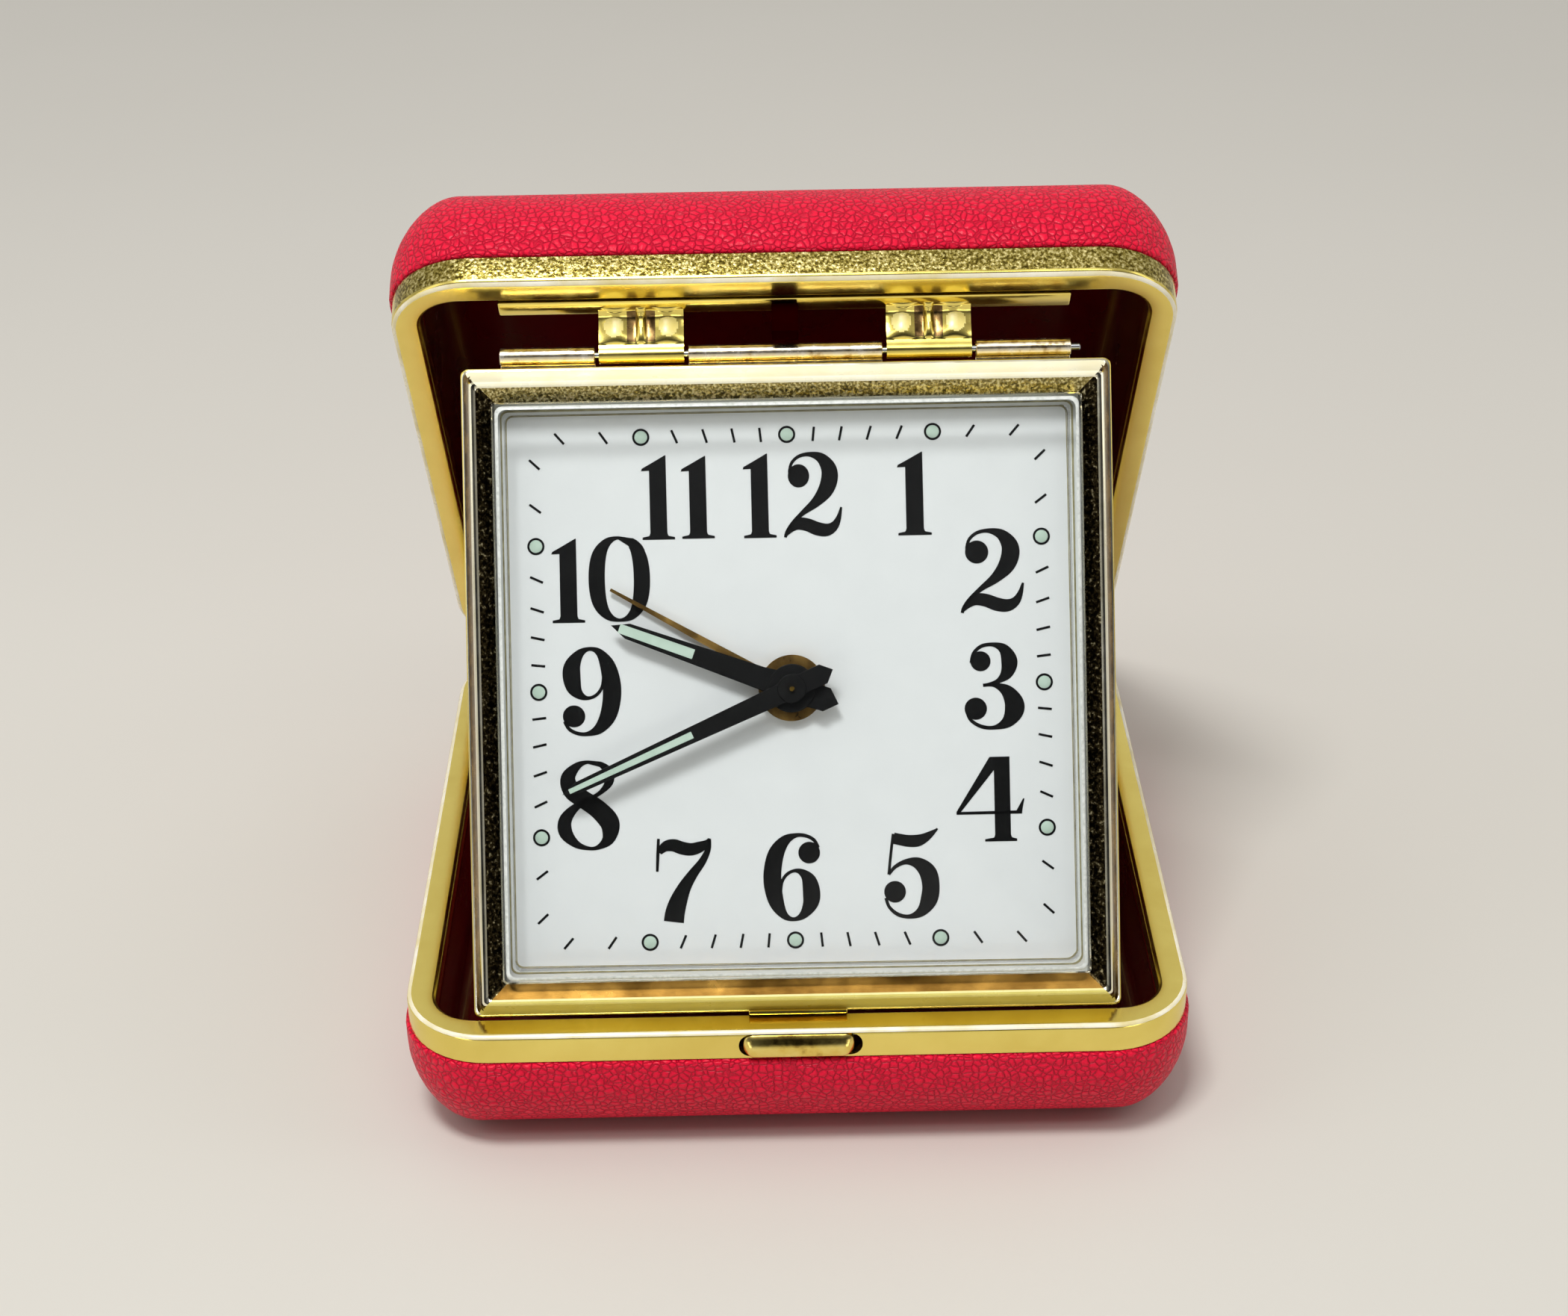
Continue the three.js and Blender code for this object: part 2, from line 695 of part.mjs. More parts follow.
// Hanger: a shelf behind the lid's front rim with two gooseneck arms that hold the clock's pin
function clockHanger() {
  const wall = RIM_W + GAP;
  const half = HANGER_W / 2;
  const shelfEnd = fromFront(wall + HANGER_SHELF);
  const parts = [
    block(-half, half, fromFront(wall), shelfEnd, 0, HANGER_T),
    block(-half, half, fromFront(wall), fromFront(wall + HANGER_T), 0, HANGER_FLANGE),
  ];
  const pin = [fromFront(PIN_INSET), -PIN_DROP];
  const knee = ARM_KNEE_INSET;
  const path = [
    [fromFront(wall + HANGER_T), HANGER_T / 2],
    [fromFront(knee - 1), HANGER_T / 2],
    [fromFront(knee - 0.2), -0.12 * PIN_DROP],
    [fromFront(knee), -0.4 * PIN_DROP],
    [fromFront(knee + 0.15), -0.65 * PIN_DROP],
    [pin[0] - TUBE_R / 2, pin[1] + TUBE_R * 0.7],
  ];
  const bores = [];
  for (const side of [-1, 1]) {
    const x0 = side * ARM_X - ARM_W / 2;
    const x1 = side * ARM_X + ARM_W / 2;
    parts.push(across(ribbon(path, HANGER_T), x0, x1));
    parts.push(rodAcross(TUBE_R, x0, x1, pin));
    const rib = path.slice(1, 5).map(([y, z]) => [y - HANGER_T / 2, z]);
    const ribX = side * ARM_X;
    parts.push(across(ribbon(rib, HANGER_T, 6), ribX - ARM_RIB_W / 2, ribX + ARM_RIB_W / 2));
    bores.push(rodAcross(PIN_R + PIVOT_GAP, x0 - GAP, x1 + GAP, pin));
  }
  return cut(join(...parts), ...bores);
}

// Hook on the lid that drops through the latch's window and grips its bar
function lidCatch() {
  const half = CATCH_W / 2;
  const front = fromFront(CATCH_INSET);
  const tip = fromFront(LATCH_WINDOW_BACK + CATCH_GRIP);
  const hookTop = -LATCH_TONGUE_DEPTH - LATCH_TONGUE_T - GAP;
  const hookBottom = hookTop - CATCH_T;
  const footEnd = fromFront(RIM_W + GAP + HANGER_SHELF);
  const foot = block(-half, half, front, footEnd, -GAP, -GAP - CATCH_T);
  const stem = block(-half, half, front, front + CATCH_T, -GAP, hookBottom);
  const barb = block(-half, half, front, tip, hookTop, hookBottom);
  return join(foot, stem, barb);
}

// Clock head. Bezel: a lip, an outer slope, a crest, an inner slope and a skirt
function bezel() {
  const profile = [
    [BEZEL_HALF, -BEZEL_LIP_T],
    [BEZEL_HALF, -0.1],
    [BEZEL_HALF - 0.25, 0.05],
    [BEZEL_HALF - 0.65, 0.45 * BEZEL_CREST],
    [BEZEL_HALF - 0.85, 0.8 * BEZEL_CREST],
    [BEZEL_HALF - 1.15, BEZEL_CREST],
    [BEZEL_HALF - 1.5, 0.95 * BEZEL_CREST],
    [OPENING_HALF, 0.45 * BEZEL_CREST],
    [OPENING_HALF, -BEZEL_LIP_T],
    [SKIRT_HALF - SKIRT_T, -BEZEL_LIP_T],
    [SKIRT_HALF - SKIRT_T, SKIRT_END],
    [SKIRT_HALF, SKIRT_END],
    [SKIRT_HALF, -BEZEL_LIP_T],
  ];
  const frame = skin(squareRings(profile, BEZEL_CORNER_R), true);
  const tabTop = -BEZEL_HALF + TAB_T;
  const tab = block(-TAB_W / 2, TAB_W / 2, -BEZEL_HALF, tabTop, -BEZEL_LIP_T / 2, 0.6 * BEZEL_CREST);
  return join(frame, tab);
}

function crystal() {
  const edge = 0.35;
  const profile = [
    [CRYSTAL_HALF - edge, CRYSTAL_RISE],
    [CRYSTAL_HALF, CRYSTAL_RISE - edge],
    [CRYSTAL_HALF, CRYSTAL_FLANGE_TOP],
    [FLANGE_HALF, CRYSTAL_FLANGE_TOP],
    [FLANGE_HALF, CRYSTAL_FLANGE_TOP - CRYSTAL_FLANGE_T],
    [CRYSTAL_HALF - CRYSTAL_WALL, CRYSTAL_FLANGE_TOP - CRYSTAL_FLANGE_T],
    [CRYSTAL_HALF - CRYSTAL_WALL, CRYSTAL_RISE - CRYSTAL_TOP_T],
  ];
  return skin(squareRings(profile, BEZEL_CORNER_R, 2));
}

// Three tubes on the pin, between and beside the arms, and the strip they are rolled from
function clockLeaf() {
  const pin = [PIN_Y, PIN_W];
  const half = HANGER_W / 2;
  const stripTop = SKIRT_HALF + GAP + HANGER_T;
  const back = -BEZEL_LIP_T - GAP;
  const armInner = ARM_X - ARM_W / 2 - TUBE_GAP;
  const armOuter = ARM_X + ARM_W / 2 + TUBE_GAP;
  const parts = [block(-half, half, SKIRT_HALF + GAP, stripTop, back, SKIRT_END)];
  const bores = [];
  for (const [x0, x1] of [[-half, -armOuter], [-armInner, armInner], [armOuter, half]]) {
    parts.push(rodAcross(TUBE_R, x0, x1, pin));
    parts.push(block(x0, x1, SKIRT_HALF + GAP, PIN_Y, back, back - HANGER_T * 0.8));
    bores.push(rodAcross(PIN_R + PIVOT_GAP, x0 - GAP, x1 + GAP, pin));
  }
  return cut(join(...parts), ...bores);
}

// Where each arbor stands
const CENTRE = [0, 0];
const BARREL_AT = polar(spacing(BARREL_TEETH, CENTRE_PINION, BARREL_MODULE), BARREL_DIRECTION);
const THIRD_AT = polar(spacing(CENTRE_TEETH, THIRD_PINION, CENTRE_MODULE), THIRD_DIRECTION);
const FOURTH_AT = polar(spacing(THIRD_TEETH, FOURTH_PINION, THIRD_MODULE), FOURTH_DIRECTION, THIRD_AT);
const ESCAPE_AT = polar(spacing(FOURTH_TEETH, ESCAPE_PINION, FOURTH_MODULE), ESCAPE_DIRECTION, FOURTH_AT);
const LEVER_AT = polar(LEVER_REACH, LEVER_DIRECTION, ESCAPE_AT);
const BALANCE_AT = polar(BALANCE_REACH, BALANCE_DIRECTION, LEVER_AT);
const MINUTE_AT = polar(spacing(CANNON_TEETH, MINUTE_TEETH, MOTION_MODULE), MINUTE_DIRECTION);
const TIME_SET_AT = polar(spacing(MINUTE_TEETH, TIME_SET_TEETH, MOTION_MODULE), MINUTE_DIRECTION, MINUTE_AT);
const ALARM_SET_AT = polar(spacing(ALARM_TEETH, ALARM_SET_TEETH, ALARM_MODULE), ALARM_SET_DIRECTION);
const ALARM_BARREL_AT = [ALARM_BARREL_X, ALARM_BARREL_Y];
const STAR_AT = polar(
  spacing(ALARM_BARREL_TEETH, STAR_PINION, ALARM_BARREL_MODULE),
  STAR_DIRECTION,
  ALARM_BARREL_AT,
);
const HAMMER_AT = [HAMMER_X, HAMMER_Y];
const STOP_AT = [STOP_X, STOP_Y];
const PILLARS_AT = [
  [PILLAR_XY, PILLAR_XY],
  [PILLAR_XY, -PILLAR_XY],
  [-PILLAR_XY, -PILLAR_XY],
  [LAST_PILLAR_X, LAST_PILLAR_Y],
];
const SCREWED_PILLARS = 3;

// Levels of the wheels, each as [front, back]
const CENTRE_LEVEL = [FRONT_PLATE_BACK - GAP, FRONT_PLATE_BACK - GAP - WHEEL_T];
const BARREL_TOP = CENTRE_LEVEL[1] - GAP;
const BARREL_GEAR = [BARREL_TOP, BARREL_TOP - BARREL_RIM_T];
const TIME_BARREL_END = BACK_PLATE_TOP + GAP;
const behindPlate = (drop, thickness) => [FRONT_PLATE_BACK - drop, FRONT_PLATE_BACK - drop - thickness];
const BALANCE_LEVEL = behindPlate(BALANCE_DROP, BALANCE_T);
const HAIRSPRING_LEVEL = behindPlate(BALANCE_DROP + BALANCE_T + HAIRSPRING_DROP, HAIRSPRING_H);
const FOURTH_LEVEL = behindPlate(FOURTH_DROP, WHEEL_T);
const THIRD_LEVEL = behindPlate(THIRD_DROP, WHEEL_T);
const LEVER_LEVEL = behindPlate(LEVER_DROP, LEVER_T);
const ESCAPE_LEVEL = behindPlate(ESCAPE_DROP, WHEEL_T);
const ALARM_BARREL_END = ESCAPE_LEVEL[0] + GAP;
const MINUTE_LEVEL = [FRONT_PLATE_TOP + GAP + WHEEL_T, FRONT_PLATE_TOP + GAP];
const HOUR_LEVEL = [MINUTE_LEVEL[0] + HOUR_WHEEL_RISE + WHEEL_T, MINUTE_LEVEL[0] + HOUR_WHEEL_RISE];
const ALARM_LEVEL = [DIAL_BACK - ALARM_WHEEL_DROP, DIAL_BACK - ALARM_WHEEL_DROP - WHEEL_T];
const RATCHET_LEVEL = [BACK_PLATE_BACK - GAP, BACK_PLATE_BACK - GAP - RATCHET_T];
const KEY_LEVEL = [-CAN_DEPTH - GAP, -CAN_DEPTH - GAP - KEY_DEPTH];
const KNOB_LEVEL = [-CAN_DEPTH - GAP, -CAN_DEPTH - GAP - KNOB_DEPTH];

// Radii of the tubes that turn inside each other at the centre, each as [outer, inner]
const tubeAround = (radius) => [radius + PIVOT_GAP + CENTRE_TUBE_T, radius + PIVOT_GAP];
const CANNON = tubeAround(CENTRE_R);
const HOUR_TUBE = tubeAround(CANNON[0]);
const ALARM_TUBE = tubeAround(HOUR_TUBE[0]);
const DIAL_HOLE = ALARM_TUBE[0] + GAP;

// Levels of the hands, each as [front, back]
const ALARM_BOSS = [DIAL_TOP + GAP + BOSS_T, DIAL_TOP + GAP];
const HOUR_BOSS = [ALARM_BOSS[0] + GAP + BOSS_T, ALARM_BOSS[0] + GAP];
const MINUTE_BOSS = [HOUR_BOSS[0] + GAP + MINUTE_BOSS_T, HOUR_BOSS[0] + GAP];
const CANNON_TOP = MINUTE_BOSS[1] - GAP;

// Tooth phases, carried from wheel to wheel so that every pair meshes
const CENTRE_PHASE = 0;
const THIRD_PHASE = meshPhase(CENTRE_TEETH, CENTRE_PHASE, THIRD_DIRECTION, THIRD_PINION);
const FOURTH_PHASE = meshPhase(THIRD_TEETH, THIRD_PHASE, FOURTH_DIRECTION, FOURTH_PINION);
const ESCAPE_PHASE = meshPhase(FOURTH_TEETH, FOURTH_PHASE, ESCAPE_DIRECTION, ESCAPE_PINION);
const BARREL_PHASE = meshPhase(CENTRE_PINION, CENTRE_PHASE, BARREL_DIRECTION, BARREL_TEETH);
const MINUTE_PHASE = meshPhase(CANNON_TEETH, CENTRE_PHASE, MINUTE_DIRECTION, MINUTE_TEETH);
const HOUR_PHASE = meshPhase(MINUTE_PINION, MINUTE_PHASE, MINUTE_DIRECTION + Math.PI, HOUR_TEETH);
const TIME_SET_PHASE = meshPhase(MINUTE_TEETH, MINUTE_PHASE, MINUTE_DIRECTION, TIME_SET_TEETH);
const ALARM_SET_PHASE = meshPhase(ALARM_TEETH, 0, ALARM_SET_DIRECTION, ALARM_SET_TEETH);
const STAR_PHASE = meshPhase(ALARM_BARREL_TEETH, 0, STAR_DIRECTION, STAR_PINION);

// Holes run from the dial, or from the back plate, out past the back of the case
const holeFrom = (top, at, radius) => rod(radius + GAP, top, -2 * CAN_DEPTH, at, SMALL_SIDES);
const pivotHole = (at, radius = ARBOR_R) => holeFrom(0, at, radius);
const canHole = (at, radius = ARBOR_R) => holeFrom(BACK_PLATE_BACK, at, radius);
const screwHoles = () => PILLARS_AT.slice(0, SCREWED_PILLARS).map((at) => pivotHole(at, SCREW_R));
const plateShape = () => rectangleShape(PLATE / 2, PLATE_CORNER_R);

function rectangleShape(half, radius) {
  return outline(rectangleRing(half, half, radius, 0, 0, 2).map(([x, y]) => [x, y]));
}

function frontPlate() {
  const plate = slab(plateShape(), FRONT_PLATE_TOP, FRONT_PLATE_BACK);
  return cut(
    plate,
    pivotHole(CENTRE, CENTRE_R),
    pivotHole(THIRD_AT),
    pivotHole(FOURTH_AT),
    pivotHole(ESCAPE_AT),
    pivotHole(LEVER_AT),
    pivotHole(BALANCE_AT, JEWEL_R),
    pivotHole(BARREL_AT),
    pivotHole(ALARM_BARREL_AT),
    pivotHole(STAR_AT),
    pivotHole(HAMMER_AT),
    pivotHole(TIME_SET_AT),
    pivotHole(ALARM_SET_AT),
  );
}

function backPlate() {
  const plate = slab(plateShape(), BACK_PLATE_TOP, BACK_PLATE_BACK);
  return cut(
    plate,
    pivotHole(CENTRE),
    pivotHole(THIRD_AT),
    pivotHole(FOURTH_AT),
    pivotHole(ESCAPE_AT),
    pivotHole(LEVER_AT),
    pivotHole(BALANCE_AT, JEWEL_R),
    pivotHole(BARREL_AT, WINDING_R),
    pivotHole(ALARM_BARREL_AT, WINDING_R),
    pivotHole(STAR_AT),
    pivotHole(HAMMER_AT),
    pivotHole(TIME_SET_AT),
    pivotHole(ALARM_SET_AT),
    pivotHole(STOP_AT),
    ...screwHoles(),
  );
}

// Jewelled balance bearings
const jewel = (front, back) => sleeve(JEWEL_R, STAFF_R + PIVOT_GAP, front, back, BALANCE_AT);

function backCan() {
  const round = CAN_EDGE_R;
  const profile = [
    [CAN_HALF - round, -CAN_DEPTH],
    [CAN_HALF, -CAN_DEPTH + round],
    [CAN_HALF, CAN_TOP - CAN_FLANGE_T],
    [FLANGE_HALF, CAN_TOP - CAN_FLANGE_T],
    [FLANGE_HALF, CAN_TOP],
    [CAN_HALF - CAN_T, CAN_TOP],
    [CAN_HALF - CAN_T, -CAN_DEPTH + round],
    [CAN_HALF - round, CAN_INNER_BACK],
  ];
  const cup = skin(squareRings(profile, CAN_CORNER_R, 3));
  return cut(
    cup,
    canHole(BARREL_AT, WINDING_R),
    canHole(ALARM_BARREL_AT, WINDING_R),
    canHole(TIME_SET_AT),
    canHole(ALARM_SET_AT),
    canHole(STOP_AT),
    regulatorSlot(),
    ...screwHoles(),
  );
}

// Regulator: a ring about the balance pivot with an arm whose end comes out through the can
function regulatorSlot() {
  const [x, y] = BALANCE_AT;
  const inner = REGULATOR_REACH * Math.cos(REGULATOR_SWING) - GAP - REGULATOR_TAB / 2;
  const outer = REGULATOR_REACH + REGULATOR_TAB + GAP;
  const half = outer * Math.sin(REGULATOR_SWING) + REGULATOR_TAB / 2 + GAP;
  return block(x + inner, x + outer, y - half, y + half, BACK_PLATE_BACK, -2 * CAN_DEPTH);
}

function regulatorLever() {
  const [x, y] = BALANCE_AT;
  const front = BACK_PLATE_BACK - GAP;
  const back = front - REGULATOR_T;
  const halfTab = REGULATOR_TAB / 2;
  const ring = sleeve(REGULATOR_R, REGULATOR_HOLE_R, front, back, BALANCE_AT);
  const armStart = x + (REGULATOR_R + REGULATOR_HOLE_R) / 2;
  const armEnd = x + REGULATOR_REACH + halfTab;
  const arm = block(armStart, armEnd, y - halfTab, y + halfTab, front, back);
  const tabEnd = -CAN_DEPTH - REGULATOR_OUT;
  const tab = block(armEnd - REGULATOR_TAB, armEnd, y - halfTab, y + halfTab, front, tabEnd);
  return join(ring, arm, tab);
}

// Hands
function pointedHand({ length, root, taper, tailHalf, tailStart, tailEnd }, angle) {
  const half = (radius) => (root - taper * radius) / 2;
  const shoulder = length - HAND_POINT;
  const points = [
    [-tailEnd, 0],
    [-tailStart, -tailHalf],
    [0, -half(0)],
    [shoulder, -half(shoulder)],
    [length, 0],
    [shoulder, half(shoulder)],
    [0, half(0)],
    [-tailStart, tailHalf],
  ];
  const turn = Math.PI / 2 + angle;
  return outline(points.map(([along, side]) => {
    const reach = Math.hypot(along, side);
    return polar(reach, turn + Math.atan2(side, along));
  }));
}

function handOn(boss, [bossFront, bossBack], hole, blade) {
  const middle = (bossFront + bossBack) / 2;
  const strip = slab(blade, middle + HAND_T / 2, middle - HAND_T / 2);
  const hub = rod(boss, bossFront, bossBack, CENTRE, BIG_SIDES);
  return cut(join(hub, strip), rod(hole, bossFront + 1, bossBack - 1, CENTRE));
}

function alarmBlade() {
  const turn = Math.PI / 2 + ALARM_ANGLE;
  const wide = ALARM_ROOT_W / 2;
  const narrow = ALARM_TIP_W / 2;
  return outline([
    polar(wide, turn - Math.PI / 2),
    polar(ALARM_LENGTH, turn - narrow / ALARM_LENGTH),
    polar(ALARM_LENGTH, turn + narrow / ALARM_LENGTH),
    polar(wide, turn + Math.PI / 2),
  ]);
}

// A wheel on its arbor: a toothed disc, a pinion and the arbor through both plates
function wheelArbor(at, wheel, pinion) {
  return join(arborAt(at), slab(wheel.shape, ...wheel.level), slab(pinion.shape, ...pinion.level));
}

const arborAt = (at, radius = ARBOR_R, front = FRONT_PLATE_TOP, back = BACK_PLATE_BACK) =>
  rod(radius, front, back, at, SMALL_SIDES);
const overlapLevel = ([front, back]) => [front + PINION_OVERLAP, back - PINION_OVERLAP];

// Going train
function centreWheel() {
  const arbor = arborAt(CENTRE, CENTRE_R, CANNON_TOP + PINION_OVERLAP);
  const tip = arborAt(CENTRE, TIP_R, MINUTE_BOSS[0] + TIP_OUT, CANNON_TOP);
  const wheel = slab(gear(CENTRE_TEETH, CENTRE_MODULE, CENTRE_PHASE), ...CENTRE_LEVEL);
  const pinionEnd = BARREL_GEAR[1] - PINION_OVERLAP;
  const pinion = slab(gear(CENTRE_PINION, BARREL_MODULE, CENTRE_PHASE), CENTRE_LEVEL[0], pinionEnd);
  return join(arbor, tip, wheel, pinion);
}

function cannonPinion() {
  const [outer, inner] = CANNON;
  const tube = rod(outer, CANNON_TOP, MINUTE_LEVEL[1]);
  const [top, bottom] = overlapLevel(MINUTE_LEVEL);
  const teeth = slab(gear(CANNON_TEETH, MOTION_MODULE, CENTRE_PHASE), top, bottom);
  return cut(join(tube, teeth), rod(inner, CANNON_TOP + GAP, bottom - GAP));
}

const drumRadius = (teeth, module) => pitchRadius(teeth, module) - 2 * module;

function barrel(teeth, module, phase, at, end) {
  const drumR = drumRadius(teeth, module);
  const drum = rod(drumR, BARREL_TOP, end, at, BIG_SIDES);
  const rim = slab(gear(teeth, module, phase, at), ...BARREL_GEAR);
  const hollow = rod(drumR - BARREL_WALL, BARREL_GEAR[1] + BARREL_WALL, end - GAP, at, BIG_SIDES);
  const bore = rod(WINDING_R + PIVOT_GAP, BARREL_TOP + GAP, end, at);
  return cut(join(drum, rim), hollow, bore);
}

function mainspring(teeth, module, at, end) {
  const inner = WINDING_R + 2 * GAP;
  const outer = drumRadius(teeth, module) - BARREL_WALL - MAINSPRING_T - 2 * GAP;
  const strip = spiral(inner, outer, MAINSPRING_TURNS, MAINSPRING_T, at);
  return slab(strip, BARREL_GEAR[1] + BARREL_WALL - GAP, end + GAP);
}

// Winding arbor: pivot in the front plate, ratchet wheel on the back plate, square end in the key
function windingArbor(at) {
  const body = rod(WINDING_R, BARREL_TOP + PIVOT_GAP, KEY_LEVEL[1] + PINION_OVERLAP, at);
  const pivot = arborAt(at, ARBOR_R, FRONT_PLATE_TOP, BARREL_TOP);
  const ratchet = slab(sawWheel(RATCHET_TEETH, RATCHET_R, RATCHET_R - RATCHET_TOOTH, at), ...RATCHET_LEVEL);
  return join(body, pivot, ratchet);
}

function windingKey(at, lean) {
  const [x, y] = at;
  const [front, back] = KEY_LEVEL;
  const eye = KEY_SPAN / 2 - KEY_WING_R;
  const shape = new THREE.Shape();
  shape.absarc(eye, 0, KEY_WING_R, -Math.PI / 2, Math.PI / 2, false);
  shape.absarc(-eye, 0, KEY_WING_R, Math.PI / 2, 1.5 * Math.PI, false);
  shape.closePath();
  shape.holes.push(disc(KEY_HOLE_R, eye, 0), disc(KEY_HOLE_R, -eye, 0));
  const wings = slab(shape, back + KEY_WING_T, back, SMALL_SIDES / 2);
  wings.rotateZ(lean).translate(x, y, 0);
  const bore = rod(WINDING_R + PIVOT_GAP, front + GAP, back - GAP, at);
  return cut(join(rod(KEY_HUB_R, front, back, at), wings), bore);
}

// Knob, shaft and pinion of one of the two setting controls
function setKnob(at, shape, level, top) {
  const knob = slab(gearRound(KNOB_R, KNOB_RIBS, at), ...KNOB_LEVEL);
  const shaft = arborAt(at, ARBOR_R, top, KNOB_LEVEL[1] + PINION_OVERLAP);
  return join(knob, shaft, slab(shape, ...level));
}

function gearRound(radius, ribs, at) {
  const points = [];
  for (let i = 0; i < 2 * ribs; i += 1) {
    points.push(polar(i % 2 ? radius : radius - KNOB_GROOVE, (i * Math.PI) / ribs, at));
  }
  return outline(points);
}

function escapeWheel() {
  const teeth = sawWheel(ESCAPE_TEETH, ESCAPE_R, ESCAPE_R - SAW_TOOTH, ESCAPE_AT);
  const pinion = gear(ESCAPE_PINION, FOURTH_MODULE, ESCAPE_PHASE, ESCAPE_AT);
  const pinionLevel = overlapLevel(FOURTH_LEVEL);
  return wheelArbor(ESCAPE_AT, { shape: teeth, level: ESCAPE_LEVEL }, { shape: pinion, level: pinionLevel });
}

// Pin lever: two arms with pins over the escape wheel and a fork towards the balance
function palletLever() {
  const down = LEVER_DIRECTION + Math.PI;
  const fork = polar(BALANCE_REACH - ROLLER_R - GAP, BALANCE_DIRECTION, LEVER_AT);
  const parts = [arborAt(LEVER_AT), slab(bar(LEVER_AT, fork, LEVER_W), ...LEVER_LEVEL)];
  for (const side of [-1, 1]) {
    const reach = LEVER_REACH - ESCAPE_R + PALLET_OVERLAP;
    const tip = polar(reach, down + side * PALLET_SPREAD, LEVER_AT);
    parts.push(slab(bar(LEVER_AT, tip, LEVER_W), ...LEVER_LEVEL));
    parts.push(rod(PALLET_PIN_R, LEVER_LEVEL[0], ESCAPE_LEVEL[0] + GAP, tip, SMALL_SIDES));
  }
  return join(...parts);
}

// A straight bar between two points
function bar([x0, y0], [x1, y1], width) {
  const length = Math.hypot(x1 - x0, y1 - y0);
  const side = [((y0 - y1) / length) * (width / 2), ((x1 - x0) / length) * (width / 2)];
  return outline([
    [x0 + side[0], y0 + side[1]],
    [x0 - side[0], y0 - side[1]],
    [x1 - side[0], y1 - side[1]],
    [x1 + side[0], y1 + side[1]],
  ]);
}

function balanceWheel() {
  const rim = sleeve(BALANCE_R, BALANCE_R - BALANCE_RIM_W, ...BALANCE_LEVEL, BALANCE_AT, BIG_SIDES);
  const roller = rod(ROLLER_R, ...LEVER_LEVEL, BALANCE_AT);
  const reach = BALANCE_R - BALANCE_RIM_W / 2;
  const ends = [0, Math.PI].map((turn) => polar(reach, BALANCE_DIRECTION + turn, BALANCE_AT));
  const spoke = slab(bar(...ends, BALANCE_RIM_W), ...BALANCE_LEVEL);
  return join(arborAt(BALANCE_AT, STAFF_R), rim, roller, spoke);
}

// Alarm work
function alarmHammer() {
  const head = polar(HAMMER_REACH, HAMMER_DIRECTION, HAMMER_AT);
  const verge = polar(VERGE_REACH, VERGE_DIRECTION, HAMMER_AT);
  const back = ESCAPE_LEVEL[0] + GAP;
  const front = back + HAMMER_BAR_T;
  return join(
    arborAt(HAMMER_AT),
    slab(bar(HAMMER_AT, head, HAMMER_BAR_W), front, back),
    slab(bar(HAMMER_AT, verge, HAMMER_BAR_W), front, back),
    rod(HAMMER_HEAD_R, back + HAMMER_HEAD_T, back, head),
  );
}

function starWheel() {
  const star = sawWheel(STAR_TEETH, STAR_R, STAR_R - SAW_TOOTH, STAR_AT, 0.5);
  const pinion = gear(STAR_PINION, ALARM_BARREL_MODULE, STAR_PHASE, STAR_AT);
  const pinionLevel = overlapLevel(BARREL_GEAR);
  return wheelArbor(STAR_AT, { shape: star, level: ESCAPE_LEVEL }, { shape: pinion, level: pinionLevel });
}

function stopButton() {
  const neck = -CAN_DEPTH - STOP_TRAVEL - GAP;
  const shaft = arborAt(STOP_AT, ARBOR_R, BACK_PLATE_TOP - PLATE_T / 2, neck);
  return join(shaft, rod(STOP_R, neck, neck - STOP_HEAD_T, STOP_AT));
}

function caseScrew(at) {
  const [x, y] = at;
  const seat = -CAN_DEPTH - GAP;
  const head = rod(SCREW_HEAD_R, seat, seat - SCREW_HEAD_T, at);
  const half = SCREW_SLOT_W / 2;
  const reach = SCREW_HEAD_R + GAP;
  const slotTop = seat - SCREW_HEAD_T / 2;
  const slot = block(x - reach, x + reach, y - half, y + half, slotTop, seat - 2 * SCREW_HEAD_T);
  const shank = arborAt(at, SCREW_R, seat, BACK_PLATE_TOP - GAP);
  return cut(join(head, shank), slot);
}

